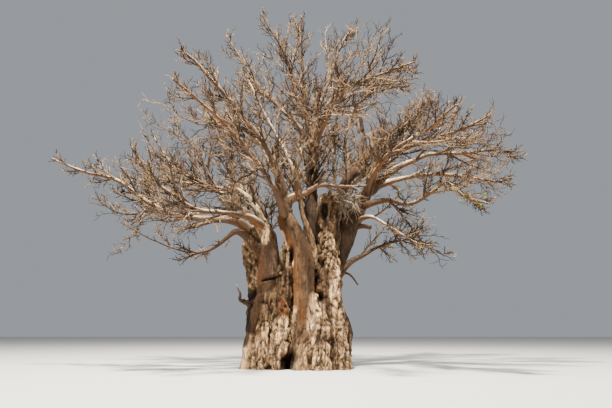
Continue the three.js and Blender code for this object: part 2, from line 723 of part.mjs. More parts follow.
function massSolid(limb, index) {
  const inSpace = spaceFor(index);
  const boughEnd = boughOf(limb, limb.split).at(-1);
  const stemRadius = (t) => {
    const share = (t - limb.split) / (1 - limb.split);
    return limb.row.tip + (STEM_TIP_RADIUS - limb.row.tip) * share;
  };
  const rings = ringsAlong(limb.curve, limb.split, 1, STEM_RINGS, stemRadius);
  rings[0].along = boughEnd.along;
  const parts = [tube(shifted(rings, SEAT_GAP), STEM_SIDES)];
  const count = limb.row.shoots ?? SHOOTS;
  for (let i = 0; i < count; i += 1) {
    const seed = childSeed(limb.seed, i);
    const roll = dice(seed);
    const share = SHOOT_FIRST + (1 - SHOOT_FIRST) * ((i + 0.5) / count);
    const t = limb.split + (1 - limb.split) * share;
    const turn = i * GOLDEN_TURN + TURN_JITTER * (roll() - 0.5);
    const lean = within(SHOOT_LEAN, roll);
    const length = limb.row.reach * within(SHOOT_LENGTH, roll) * (1 - SHOOT_TAPER * share);
    const radius = stemRadius(t) * SHOOT_RADIUS_SHARE;
    const shoot = settle(shootFrom(limb.curve, t, turn, lean, length, roll), radius, inSpace);
    if (!shoot) {
      continue;
    }
    const thin = (s) => radius * (1 - SHOOT_THINNING * s);
    parts.push(tube(ringsAlong(shoot, 0, 1, SHOOT_RINGS, thin), SHOOT_SIDES, true));
    const twigRoll = dice(childSeed(seed, 0));
    const at = within(TWIG_PLACE, twigRoll);
    const twigTurn = within(TWIG_TURN, twigRoll);
    const twigLean = within(TWIG_LEAN, twigRoll);
    const twigLength = length * within(TWIG_LENGTH, twigRoll);
    const twigRadius = Math.max(thin(at) * TWIG_RADIUS_SHARE, TWIG_MIN_RADIUS);
    const twig = settle(shootFrom(shoot, at, twigTurn, twigLean, twigLength, twigRoll), twigRadius, inSpace);
    if (twig) {
      parts.push(tube(ringsAlong(twig, 0, 1, TWIG_RINGS, () => twigRadius), SHOOT_SIDES, true));
    }
  }
  return Manifold.union(parts);
}

function tangleSolid(tangle) {
  const roll = dice(tangle.seed);
  const centre = new THREE.Vector3(...tangle.at);
  const blank = solidOf(roundBlank(TANGLE_CORE_DETAIL)).scale(tangle.half.map((h) => h * METRE));
  const parts = [blank.translate(tangle.at.map((c) => c * METRE))];
  for (let i = 0; i < tangle.sticks; i += 1) {
    const turn = i * GOLDEN_TURN;
    const height = 1 - (2 * (i + 0.5)) / tangle.sticks;
    const flat = Math.sqrt(1 - height * height);
    const outward = new THREE.Vector3(flat * Math.cos(turn), flat * Math.sin(turn), height);
    const root = centre.clone().add(outward.clone().multiply(new THREE.Vector3(...tangle.half)).multiplyScalar(STICK_ROOT_DEPTH));
    const slant = new THREE.Vector3(roll() - 0.5, roll() - 0.5, roll() - 0.5 + tangle.droop);
    const heading = outward.multiply(new THREE.Vector3(...tangle.half)).normalize().addScaledVector(slant, STICK_SLANT).normalize();
    const end = root.clone().addScaledVector(heading, tangle.stick * within(STICK_LENGTH, roll));
    const near = nearestSkin(end, limbCapsules);
    if (near > STICK_RADIUS + LIMB_CLEAR) {
      const line = new THREE.CatmullRomCurve3([root, end], false, 'catmullrom', 0.5);
      parts.push(tube(ringsAlong(line, 0, 1, TWIG_RINGS, () => STICK_RADIUS), SHOOT_SIDES, true));
    }
  }
  return Manifold.union(parts);
}

// Limb skins grown by the seat gap, cut out of a tangle where it rests on them
function grownTube(rings, sides) {
  const grown = rings.map((ring) => ({ ...ring, centre: ring.centre.clone(), radius: ring.radius + REST_GAP }));
  grown[0].centre.addScaledVector(grown[0].along, -REST_GAP);
  grown.at(-1).centre.addScaledVector(grown.at(-1).along, REST_GAP);
  return tube(grown, sides);
}

function restsOn() {
  const skins = [];
  for (const [name, stem] of Object.entries(stems)) {
    if (name in FREE_STEMS) {
      const { below, above } = splitRings(stem, FREE_STEMS[name]);
      skins.push(grownTube(below, stem.sides), grownTube(above, stem.sides));
    } else {
      skins.push(grownTube(columnRings(stem), stem.sides));
    }
  }
  for (const limb of limbs) {
    skins.push(grownTube(ringsAlong(limb.curve, 0, limb.leave, COLLAR_RINGS, limb.radiusAt), COLLAR_SIDES));
    skins.push(grownTube(boughOf(limb, limb.split), BOUGH_SIDES));
  }
  return Manifold.union(skins);
}

function largestPiece(solid) {
  const pieces = solid.decompose();
  return pieces.reduce((best, piece) => (piece.volume() > best.volume() ? piece : best), pieces[0]);
}

function meshOf(name, solid, material) {
  const raw = solid.simplify(SLIVER).getMesh();
  const geometry = new THREE.BufferGeometry();
  const positions = new Float32Array(raw.numVert * 3);
  for (let i = 0; i < raw.numVert; i += 1) {
    for (let k = 0; k < 3; k += 1) {
      positions[i * 3 + k] = raw.vertProperties[i * raw.numProp + k];
    }
  }
  geometry.setAttribute('position', new THREE.BufferAttribute(positions, 3));
  geometry.setIndex(new THREE.BufferAttribute(new Uint32Array(raw.triVerts), 1));
  geometry.computeVertexNormals();
  const mesh = new THREE.Mesh(geometry, material.clone());
  mesh.name = name;
  return mesh;
}

const trunkBark = new THREE.MeshStandardMaterial({ color: 0x8d7a69, roughness: 0.95, metalness: 0 });
const boughBark = new THREE.MeshStandardMaterial({ color: 0x9c8770, roughness: 0.9, metalness: 0 });
const twigBark = new THREE.MeshStandardMaterial({ color: 0x7a6250, roughness: 0.9, metalness: 0 });
const deadWood = new THREE.MeshStandardMaterial({ color: 0x6a5645, roughness: 0.95, metalness: 0 });

const tree = new THREE.Group();
tree.name = 'tree';
tree.add(meshOf('trunk', largestPiece(trunkSolid()), trunkBark));
for (const [name, label] of Object.entries(FREE_STEM_NAMES)) {
  tree.add(meshOf(label, largestPiece(freeStemSolid(name)), trunkBark));
}
limbs.forEach((limb, index) => {
  tree.add(meshOf(`bough_${limb.name}`, tube(boughOf(limb, limb.split), BOUGH_SIDES), boughBark));
  tree.add(meshOf(`twigs_${limb.name}`, largestPiece(massSolid(limb, index)), twigBark));
});
const rests = restsOn();
for (const [name, tangle] of Object.entries(TANGLES)) {
  tree.add(meshOf(name, largestPiece(tangleSolid(tangle).subtract(rests)), deadWood));
}

export default tree;
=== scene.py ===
"""Dresses the baobab: bark, boughs, bare twigs, dead tangles and a few late leaves, in metres with +Z up."""

import json
import logging
import math
from collections.abc import Callable, Iterable, Iterator
from dataclasses import dataclass
from enum import Enum

import bmesh
import bpy
import numpy as np
from mathutils import Matrix, Vector
from mathutils.kdtree import KDTree

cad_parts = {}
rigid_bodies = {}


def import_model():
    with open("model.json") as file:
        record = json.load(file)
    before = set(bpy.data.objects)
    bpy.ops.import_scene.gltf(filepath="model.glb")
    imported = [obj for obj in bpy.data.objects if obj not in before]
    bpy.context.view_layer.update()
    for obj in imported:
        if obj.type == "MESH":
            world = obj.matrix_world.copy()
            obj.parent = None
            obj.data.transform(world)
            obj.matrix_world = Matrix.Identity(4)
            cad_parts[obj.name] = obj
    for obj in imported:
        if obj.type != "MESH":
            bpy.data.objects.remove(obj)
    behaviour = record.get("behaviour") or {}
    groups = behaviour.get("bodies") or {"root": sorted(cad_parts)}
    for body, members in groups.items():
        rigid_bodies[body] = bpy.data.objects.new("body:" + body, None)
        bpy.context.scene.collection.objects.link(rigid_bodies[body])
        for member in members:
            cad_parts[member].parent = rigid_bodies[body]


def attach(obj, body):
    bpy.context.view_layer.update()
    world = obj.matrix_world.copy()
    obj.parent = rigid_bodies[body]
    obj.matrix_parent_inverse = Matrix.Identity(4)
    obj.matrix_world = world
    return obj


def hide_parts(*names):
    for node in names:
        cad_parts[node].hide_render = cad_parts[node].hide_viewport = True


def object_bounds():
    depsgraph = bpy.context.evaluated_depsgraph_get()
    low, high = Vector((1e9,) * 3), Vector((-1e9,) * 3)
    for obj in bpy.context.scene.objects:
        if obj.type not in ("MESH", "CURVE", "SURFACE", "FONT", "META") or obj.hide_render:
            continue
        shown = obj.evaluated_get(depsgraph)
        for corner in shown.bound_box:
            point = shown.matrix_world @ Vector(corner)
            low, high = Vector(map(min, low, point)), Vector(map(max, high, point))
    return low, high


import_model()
CAD_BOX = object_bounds()

log = logging.getLogger("baobab")
Array = np.ndarray
Point = tuple[float, float, float]
Row = tuple[float, float, float, float]

UP = np.array([0.0, 0.0, 1.0])
GOLDEN_TURN = 2.399963
WORD = 0xFFFFFFFF

# ---------------------------------------------------------------- the source's rule

LEVELS_PER_COLUMN = 8
COLLAR_CLEAR = 0.03
COLLAR_STEP = 0.01
COLLAR_LAST = 0.4
BOUGH_FLARE = 0.35
BOUGH_FLARE_FADE = 9.0
STEM_TIP_RADIUS = 0.03
SHOOTS = 8
SHOOT_FIRST = 0.08
SHOOT_SHRINK = 0.72
SHOOT_TRIES = 4
SHOOT_RADIUS_SHARE = 0.7
SHOOT_TAPER = 0.85
LIFT = 0.12
BEND_LIFT = 0.1
BEND_JITTER = 0.55
LIMB_CLEAR = 0.05
LOWEST_TWIG = 2.6
SPACE_SAMPLES = (0.35, 0.7, 1.0)
TURN_JITTER = 0.8
SHOOT_TAKEN = 0.8
TWIG_TAKEN = 0.55
TWIG_TURN = 1.2
TWIG_RADIUS_SHARE = 0.5
TWIG_LEAST_RADIUS = 0.015

# Least, and how much more the dice may add
SHOOT_LEAN = (0.4, 0.4)
SHOOT_LENGTH = (0.8, 0.35)
TWIG_AT = (0.42, 0.12)
TWIG_LEAN = (0.6, 0.4)
TWIG_LENGTH = (0.3, 0.2)


class Skin(Enum):
    """The kinds of bark that the columns of the trunk carry, with how rough, warm and pale each is."""

    CRACKED = (1.0, 0.0, 0.75)
    ASHEN = (0.85, 0.0, 0.35)
    SMOOTH = (0.12, 0.12, 0.12)
    COPPER = (0.14, 1.0, 0.1)
    DARK = (0.3, 0.0, 0.05)
    BARE = (0.6, 0.0, 0.4)


@dataclass(frozen=True)
class Column:
    """One column of the trunk: rows of x, y, z and radius, with its bark above and below a height."""

    rows: tuple[Row, ...]
    upper: Skin
    lower: Skin
    change: float
    sides: int = 22


@dataclass(frozen=True)
class Bough:
    """A limb: root and tip radius, share that is solid bough, reach of its shoots, path, and how many shoots."""

    root: float
    tip: float
    split: float
    reach: float
    path: tuple[Point, ...]
    shoots: int = SHOOTS


@dataclass(frozen=True)
class Hollow:
    """A hole or a swelling in the bark: its middle, half sizes, how far it is pushed, and its rise to the right."""

    at: Point
    half: Point
    push: Point
    slope: float = 0.0


class Tint(Enum):
    """The looks that a place on the bark may take: CREAM is pale bark that partly stands for painted sunlight, ORANGE
    an orange tint, DARK painted shadow.
    """

    CREAM = 0
    ORANGE = 1
    DARK = 2


@dataclass(frozen=True)
class Patch:
    """A place on the bark with a painted look, painted shadow and painted sunlight among them: its two ends, its half
    width, and how strong it is.
    """

    top: Point
    foot: Point
    half: float
    tint: Tint
    share: float


@dataclass(frozen=True)
class Tangle:
    """Sticks lodged in a fork: middle, half sizes, count, length of a stick, droop and seed."""

    at: Point
    half: Point
    sticks: int
    stick: float
    droop: float
    seed: int


CORE = ((0.0, 0.0, -0.4, 2.15), (0.0, 0.0, 1.0, 1.85), (0.0, 0.1, 2.6, 1.62), (0.1, 0.1, 4.2, 1.45),
        (0.1, 0.1, 5.1, 0.95))

RIBS = {
    "far_left": Column(((-1.98, -0.85, -0.4, 0.5), (-1.94, -0.75, 1.5, 0.34), (-1.92, -0.7, 3.0, 0.32),
                        (-1.98, -0.8, 4.3, 0.32), (-2.12, -1.2, 5.1, 0.28), (-2.3, -1.55, 5.6, 0.18)),
                       Skin.CRACKED, Skin.ASHEN, 2.2),
    "buttress": Column(((-2.3, -1.3, -0.4, 0.3), (-2.08, -1.5, 1.0, 0.23), (-1.8, -1.66, 2.2, 0.2),
                        (-1.62, -1.6, 3.3, 0.14)), Skin.DARK, Skin.DARK, 2.0),
    "left_inner": Column(((-0.82, -1.7, -0.4, 0.52), (-0.78, -1.75, 1.5, 0.38), (-0.66, -1.65, 3.0, 0.34),
                          (-0.46, -1.5, 4.6, 0.33), (-0.4, -1.4, 5.5, 0.29)), Skin.CRACKED, Skin.CRACKED, 2.0),
    "root_ridge": Column(((0.92, -2.15, -0.4, 0.55), (0.94, -2.12, 0.9, 0.45), (0.91, -2.05, 1.9, 0.38),
                          (0.81, -1.9, 2.6, 0.26), (0.7, -1.7, 3.2, 0.12)), Skin.CRACKED, Skin.CRACKED, 2.0),
    "far_right": Column(((2.0, 0.3, -0.4, 0.5), (2.1, 0.3, 1.5, 0.38), (1.82, 0.3, 2.5, 0.28), (1.5, 0.2, 3.4, 0.16)),
                        Skin.ASHEN, Skin.DARK, 2.6),
    "strut": Column(((0.1, -1.72, 7.4, 0.1), (0.16, -1.75, 6.9, 0.1), (0.3, -1.8, 6.3, 0.11), (0.56, -1.86, 5.6, 0.13),
                     (0.74, -1.8, 4.9, 0.12), (0.78, -1.7, 4.2, 0.1)), Skin.ASHEN, Skin.ASHEN, 5.0, 10),
}

# Ribs at the back: angle in degrees, foot radius and top height
BACK_RIBS = ((28, 0.56, 3.9), (58, 0.6, 4.6), (88, 0.5, 4.2), (116, 0.6, 4.8), (143, 0.52, 4.3), (170, 0.55, 4.7))
BACK_RIB_REACH = 1.98
BACK_RIB_LEAN_IN = 0.62

STEMS = {
    "left": Column(((-1.5, -1.4, -0.4, 0.66), (-1.4, -1.45, 1.5, 0.5), (-1.3, -1.4, 2.9, 0.46), (-1.3, -1.3, 4.4, 0.46),
                    (-1.4, -1.2, 5.5, 0.47), (-1.45, -1.15, 6.3, 0.34)), Skin.COPPER, Skin.CRACKED, 2.8),
    "hook": Column(((0.2, -1.95, -0.4, 0.62), (0.28, -1.95, 1.4, 0.48), (0.28, -1.9, 2.9, 0.44), (0.2, -1.8, 4.6, 0.45),
                    (-0.22, -1.8, 5.7, 0.42), (-0.52, -1.8, 6.4, 0.36), (-0.58, -1.85, 7.05, 0.26)),
                   Skin.COPPER, Skin.BARE, 2.0),
    "hook_arm": Column(((-0.6, -1.82, 6.7, 0.3), (-0.45, -1.8, 7.2, 0.26), (-0.1, -1.78, 7.42, 0.21),
                        (0.4, -1.7, 7.62, 0.15), (0.95, -1.5, 7.98, 0.1), (1.6, -1.35, 7.98, 0.08),
                        (2.4, -1.2, 8.0, 0.065), (3.1, -1.15, 8.05, 0.05)), Skin.COPPER, Skin.COPPER, 2.7),
    "middle": Column(((0.55, -0.2, 2.5, 0.52), (0.6, -0.2, 4.5, 0.46), (0.6, -0.15, 5.8, 0.36), (0.6, 0.0, 7.6, 0.27),
                      (0.66, 0.0, 9.4, 0.21), (0.7, 0.0, 11.3, 0.16)), Skin.SMOOTH, Skin.SMOOTH, 2.0),
    "broken": Column(((1.65, -1.6, -0.4, 0.66), (1.5, -1.45, 1.5, 0.52), (1.35, -1.2, 2.9, 0.47),
                      (1.35, -0.9, 5.1, 0.46), (1.32, -0.7, 6.6, 0.48), (1.36, -0.64, 7.4, 0.45),
                      (1.5, -0.55, 7.95, 0.3)), Skin.CRACKED, Skin.CRACKED, 2.0),
    "right": Column(((1.95, -0.8, -0.4, 0.5), (1.85, -0.7, 1.5, 0.38), (1.56, -0.5, 2.9, 0.34), (1.54, -0.4, 3.7, 0.37),
                     (1.84, -0.2, 5.0, 0.45), (2.25, 0.0, 6.2, 0.49), (2.92, 0.2, 7.5, 0.42), (3.7, 0.4, 8.55, 0.25)),
                    Skin.SMOOTH, Skin.CRACKED, 4.3),
    "right_stub": Column(((2.3, 0.0, 6.15, 0.2), (2.85, -0.1, 6.35, 0.13), (3.42, -0.1, 6.32, 0.1)),
                         Skin.SMOOTH, Skin.SMOOTH, 2.0),
    "back_right": Column(((1.3, 1.2, 2.5, 0.4), (1.55, 1.2, 5.0, 0.4), (1.85, 1.1, 7.0, 0.34), (2.3, 1.1, 8.7, 0.27),
                          (2.85, 1.45, 9.5, 0.24), (3.3, 1.8, 10.25, 0.2)), Skin.SMOOTH, Skin.SMOOTH, 2.0),
    "back_left": Column(((-1.3, 1.0, 2.5, 0.4), (-1.45, 1.0, 4.6, 0.4), (-1.6, 0.95, 5.8, 0.34),
                         (-1.68, 0.9, 6.5, 0.25)), Skin.SMOOTH, Skin.ASHEN, 4.0),
}

HOLLOWS = (
    Hollow((1.2, -1.12, 6.95), (0.18, 0.4, 0.44), (0.0, 0.3, 0.0)),
    Hollow((-0.25, -2.1, 4.8), (0.13, 0.6, 0.38), (0.0, 0.45, 0.0)),
    Hollow((-0.32, -2.35, 0.35), (0.3, 0.7, 0.55), (0.0, 0.6, 0.0)),
    Hollow((0.98, -1.8, 3.05), (0.12, 0.5, 0.3), (0.0, 0.35, 0.0)),
    Hollow((-1.15, -1.88, 3.79), (0.55, 0.36, 0.07), (0.0, 0.16, 0.0), 0.26),
    Hollow((2.6, -0.4, 0.2), (0.6, 1.4, 1.3), (-0.2, 0.0, 0.0)),
    Hollow((-2.6, -1.3, 0.1), (0.5, 1.0, 0.9), (0.09, 0.0, 0.0)),
    Hollow((-0.92, -1.95, 3.99), (0.26, 0.5, 0.09), (0.0, -0.26, 0.0), 0.25),
)

# Places on the bark with their own look: pale bark that partly stands for painted sunlight, orange tints, and painted
# shadow where DARK
PATCHES = (
    Patch((-1.9, -1.6, 6.5), (-1.43, -1.75, 5.5), 0.16, Tint.CREAM, 1.0),
    Patch((-1.3, -1.5, 6.4), (-1.43, -1.75, 5.5), 0.13, Tint.CREAM, 1.0),
    Patch((-0.45, -1.7, 5.7), (-0.35, -1.8, 4.5), 0.28, Tint.CREAM, 1.7),
    Patch((-0.85, -1.7, 5.6), (-0.64, -1.8, 4.0), 0.2, Tint.DARK, 0.75),
    Patch((-0.75, -1.9, 4.02), (-1.1, -1.9, 3.93), 0.09, Tint.CREAM, 2.4),
    Patch((-0.62, -1.95, 2.75), (-0.6, -2.0, 2.2), 0.15, Tint.ORANGE, 0.85),
    Patch((-0.1, -2.1, 2.5), (-0.34, -2.2, 1.5), 0.13, Tint.CREAM, 1.2),
    Patch((-0.15, -2.2, 2.2), (-0.2, -2.3, 0.7), 0.14, Tint.DARK, 0.8),
    Patch((-0.36, -2.4, 0.45), (-0.36, -2.4, 0.0), 0.3, Tint.DARK, 0.9),
    Patch((-0.98, -1.9, 1.8), (-0.98, -2.0, 0.3), 0.12, Tint.DARK, 0.8),
    Patch((-0.62, -2.1, 1.9), (-0.6, -2.3, 0.1), 0.22, Tint.CREAM, 1.0),
    Patch((-2.1, -1.6, 1.3), (-2.25, -1.7, 0.0), 0.2, Tint.CREAM, 1.5),
    Patch((-1.75, -1.75, 1.1), (-1.7, -1.9, 0.0), 0.3, Tint.CREAM, 1.5),
    Patch((-1.32, -1.9, 1.6), (-1.3, -2.1, 0.0), 0.34, Tint.CREAM, 1.4),
    Patch((0.22, -2.4, 3.6), (0.24, -2.4, 1.9), 0.07, Tint.ORANGE, 0.9),
    Patch((0.55, -2.3, 5.2), (0.5, -2.4, 2.6), 0.16, Tint.DARK, 0.5),
    Patch((-0.1, -2.3, 4.6), (-0.05, -2.4, 2.4), 0.12, Tint.DARK, 0.45),
    Patch((-0.05, -2.2, 6.3), (0.74, -2.2, 4.9), 0.12, Tint.CREAM, 1.1),
    Patch((0.76, -2.1, 2.9), (0.88, -2.45, 1.5), 0.3, Tint.CREAM, 1.05),
    Patch((0.88, -2.45, 1.5), (1.0, -2.5, 0.1), 0.34, Tint.CREAM, 1.0),
    Patch((1.55, -0.9, 5.3), (1.5, -1.3, 3.6), 0.22, Tint.CREAM, 1.2),
    Patch((1.55, -1.5, 3.6), (1.6, -1.8, 1.5), 0.16, Tint.CREAM, 1.2),
    Patch((1.75, -1.5, 2.1), (2.1, -1.6, 0.1), 0.12, Tint.CREAM, 1.0),
    Patch((2.1, -0.55, 2.8), (2.45, -0.75, 0.2), 0.5, Tint.DARK, 1.0),
    Patch((0.35, -2.45, 3.4), (0.3, -2.45, 2.2), 0.3, Tint.DARK, 0.45),
    Patch((1.95, -0.7, 6.9), (1.75, -0.7, 5.4), 0.36, Tint.DARK, 0.95),
    Patch((-2.1, -1.15, 2.9), (-2.25, -1.35, 1.3), 0.44, Tint.DARK, 1.12),
    Patch((2.3, -0.3, 6.6), (1.9, -0.5, 4.9), 0.42, Tint.DARK, 0.8),
    Patch((0.64, -0.4, 9.5), (0.6, -0.6, 5.0), 0.5, Tint.DARK, 0.9),
    Patch((-1.15, -1.75, 5.4), (-1.2, -1.8, 4.0), 0.3, Tint.DARK, 0.55),
    Patch((-2.0, -1.2, 4.6), (-1.95, -1.1, 2.9), 0.16, Tint.CREAM, 1.0),
)

BOUGHS = {
    "left_low": Bough(0.2, 0.09, 0.4, 1.7,
        ((-1.5, -1.3, 4.85), (-2.0, -1.7, 5.4), (-2.6, -2.0, 5.8), (-3.1, -2.2, 5.5), (-3.7, -2.3, 5.0),
         (-4.6, -2.5, 4.85), (-5.9, -2.8, 5.25), (-7.4, -3.1, 6.0)), shoots=4),
    "left_far": Bough(0.26, 0.1, 0.38, 2.6,
        ((-1.4, -1.25, 5.5), (-2.1, -1.5, 5.95), (-2.9, -1.6, 6.35), (-4.3, -1.7, 6.4), (-5.6, -1.8, 6.6),
         (-6.7, -1.8, 7.2), (-8.1, -1.6, 8.2), (-9.6, -1.4, 8.6), (-11.4, -1.0, 9.4))),
    "left_mid": Bough(0.2, 0.09, 0.32, 3.2,
        ((-1.5, -1.0, 6.1), (-1.95, -0.4, 7.1), (-2.8, 0.2, 8.1), (-3.9, 0.8, 8.4), (-5.4, 1.4, 8.8), (-7.1, 2.0, 9.1),
         (-9.2, 2.6, 9.2))),
    "left_front": Bough(0.18, 0.08, 0.34, 2.9,
        ((-1.45, -1.25, 6.0), (-2.1, -2.2, 6.4), (-3.2, -3.0, 6.45), (-4.2, -3.6, 6.5), (-5.1, -4.0, 7.0),
         (-5.9, -4.4, 7.7), (-6.6, -4.7, 8.8))),
    "left_back": Bough(0.2, 0.09, 0.34, 3.2,
        ((-1.62, 0.92, 6.1), (-2.2, 1.0, 6.9), (-2.95, 1.3, 7.7), (-4.6, 2.2, 8.8), (-5.7, 2.6, 9.5), (-6.8, 3.0, 10.3),
         (-8.0, 3.6, 12.0))),
    "left_back_high": Bough(0.19, 0.09, 0.37, 3.1,
        ((-1.58, 0.98, 5.7), (-1.7, 1.75, 7.2), (-2.4, 2.2, 8.2), (-3.3, 2.5, 9.1), (-3.5, 2.6, 10.3),
         (-3.9, 2.9, 11.9), (-5.3, 3.4, 13.5))),
    "back_left": Bough(0.2, 0.09, 0.34, 3.6,
        ((-1.45, 1.05, 4.6), (-1.7, 2.3, 6.4), (-2.3, 4.0, 8.0), (-3.2, 6.0, 9.4), (-4.2, 7.8, 10.8))),
    "high_left": Bough(0.22, 0.1, 0.38, 3.0,
        ((-0.57, -1.82, 6.7), (-0.7, -2.0, 7.8), (-1.1, -2.4, 9.0), (-1.8, -2.8, 10.0), (-2.8, -3.2, 11.2),
         (-4.0, -3.8, 12.4), (-4.9, -4.3, 13.2))),
    "front_left": Bough(0.18, 0.08, 0.34, 2.7,
        ((-0.5, -1.8, 6.3), (-0.95, -2.9, 7.4), (-1.9, -4.4, 8.6), (-3.2, -6.1, 9.7), (-4.4, -7.6, 10.4))),
    "high_left_inner": Bough(0.15, 0.07, 0.32, 3.0,
        ((0.05, -1.8, 7.3), (-0.1, -2.1, 8.2), (-0.6, -1.8, 9.5), (-1.2, -1.3, 10.8), (-1.9, -1.0, 12.2),
         (-2.4, -0.8, 13.4))),
    "top_left": Bough(0.13, 0.07, 0.29, 2.9,
        ((0.69, 0.0, 10.9), (0.1, -0.1, 12.1), (-0.3, -0.1, 13.7), (-0.8, -0.5, 15.1), (-1.8, -1.0, 16.7))),
    "top_middle": Bough(0.12, 0.06, 0.29, 3.0,
        ((0.7, 0.0, 10.9), (0.5, 0.6, 12.4), (0.3, 0.9, 14.0), (0.15, 0.8, 15.7), (0.1, 0.4, 17.4))),
    "top_far_left": Bough(0.13, 0.07, 0.32, 3.0,
        ((0.68, 0.0, 10.2), (-0.1, 0.6, 11.6), (-1.1, 0.8, 12.7), (-2.4, 0.9, 14.3), (-3.7, 0.6, 16.4))),
    "top_right": Bough(0.14, 0.07, 0.29, 2.7,
        ((0.7, 0.0, 10.9), (1.05, 0.1, 12.5), (1.7, 0.4, 14.3), (2.15, 0.7, 15.9), (2.7, 0.9, 17.0))),
    "high_right_front": Bough(0.14, 0.07, 0.34, 3.2,
        ((0.7, -0.03, 10.4), (1.4, -0.9, 12.0), (2.5, -1.6, 12.7), (3.8, -2.5, 12.9), (5.0, -3.4, 13.1))),
    "high_right_back": Bough(0.16, 0.07, 0.36, 2.9,
        ((3.25, 1.76, 10.1), (3.35, 2.1, 11.4), (3.25, 2.4, 13.0), (3.6, 2.6, 14.0), (4.8, 3.0, 14.5),
         (6.1, 3.5, 14.9))),
    "right_back_rising": Bough(0.17, 0.08, 0.32, 3.1,
        ((3.2, 1.72, 10.05), (4.3, 2.4, 11.2), (5.5, 3.1, 12.4), (6.6, 3.8, 13.6), (7.5, 4.3, 14.5))),
    "right_rising": Bough(0.17, 0.08, 0.32, 3.0,
        ((3.4, 0.3, 8.1), (3.75, -0.7, 9.3), (4.9, -1.4, 9.7), (5.9, -2.0, 9.95), (7.1, -2.6, 10.2),
         (8.2, -3.2, 10.6))),
    "right_far": Bough(0.19, 0.08, 0.34, 3.1,
        ((3.55, 0.36, 8.35), (4.8, 0.3, 9.3), (6.4, 0.4, 10.0), (7.9, 0.2, 10.0), (9.2, 0.0, 10.1), (10.5, -0.4, 9.9))),
    "right_back": Bough(0.18, 0.08, 0.34, 3.0,
        ((3.5, 0.36, 8.25), (4.6, 1.4, 8.9), (6.4, 2.0, 9.4), (8.6, 2.7, 9.5), (10.2, 3.0, 9.3), (11.1, 3.2, 9.4))),
    "right_front": Bough(0.15, 0.07, 0.34, 3.0,
        ((2.85, 0.15, 7.3), (4.0, -1.1, 7.4), (4.8, -2.2, 6.95), (5.55, -3.2, 7.2), (6.05, -4.2, 7.4), (6.6, -5.1, 6.6),
         (7.1, -5.8, 6.2))),
    "right_front_low": Bough(0.13, 0.06, 0.36, 2.2,
        ((2.35, 0.0, 6.3), (3.2, -0.7, 6.7), (4.0, -1.7, 6.1), (4.8, -2.7, 5.3), (5.6, -3.6, 4.9)), shoots=6),
    "right_back_low": Bough(0.19, 0.08, 0.34, 2.3,
        ((1.75, -0.3, 4.1), (2.45, 0.5, 4.75), (3.5, 1.5, 5.4), (4.6, 2.4, 5.9), (5.5, 3.1, 6.2), (6.3, 3.7, 6.4)),
        shoots=6),
    "back_right": Bough(0.2, 0.09, 0.34, 3.6,
        ((1.95, 1.1, 7.3), (2.5, 2.5, 8.7), (3.6, 4.4, 10.1), (4.7, 6.4, 11.2), (5.6, 8.2, 12.0))),
    "back_middle": Bough(0.17, 0.08, 0.34, 3.6,
        ((0.61, 0.0, 7.8), (0.5, 1.7, 9.2), (0.3, 3.8, 10.8), (0.0, 6.0, 12.1), (-0.2, 7.8, 13.0))),
    "front_middle": Bough(0.14, 0.07, 0.34, 3.2,
        ((0.65, 0.0, 8.9), (0.9, -1.6, 10.0), (1.3, -3.8, 10.4), (1.7, -6.0, 10.4), (1.9, -7.8, 10.5))),
    "front_right": Bough(0.17, 0.08, 0.34, 2.8,
        ((3.1, 0.25, 7.7), (3.45, -1.4, 8.6), (4.2, -3.4, 9.1), (5.1, -5.4, 9.3), (5.8, -7.2, 9.6))),
}

# Boughs whose bark shows darker in the photo
DARK_BOUGHS = {"left_low": 0.75, "high_right_back": 0.7, "right_back_rising": 0.65, "left_back_high": 0.45,
               "top_left": 0.4, "top_middle": 0.4, "top_right": 0.35}

# Boughs that the photo shows nearly clean up to their masses
CLEAN_BOUGHS = {"left_low", "left_far", "left_mid", "left_front", "right_far", "right_front", "right_front_low",
                "right_back", "right_back_low", "high_right_back", "high_right_front"}

# Boughs whose masses are the closest
FULL_BOUGHS = {"left_far", "left_mid", "left_front"}

# A broken stub on a limb: radius at the root and at the end, and path
STUBS = {"stub_left": (0.1, 0.07, ((-3.5, -1.68, 6.36), (-3.9, -1.75, 6.25), (-4.4, -1.85, 6.08), (-4.9, -1.95, 5.95)))}
STUB_LEVELS = 24
STUB_DARK = 0.5
STUB_SEED = 31

# Shoots on the stems that stand free: how many, between which shares of the path, and the longest
STEM_SHOOTS = {"middle": (15, 0.44, 0.97, 3.2), "hook_arm": (6, 0.45, 0.95, 1.7), "right": (6, 0.72, 0.97, 2.4),
               "back_right": (8, 0.55, 0.95, 3.0)}

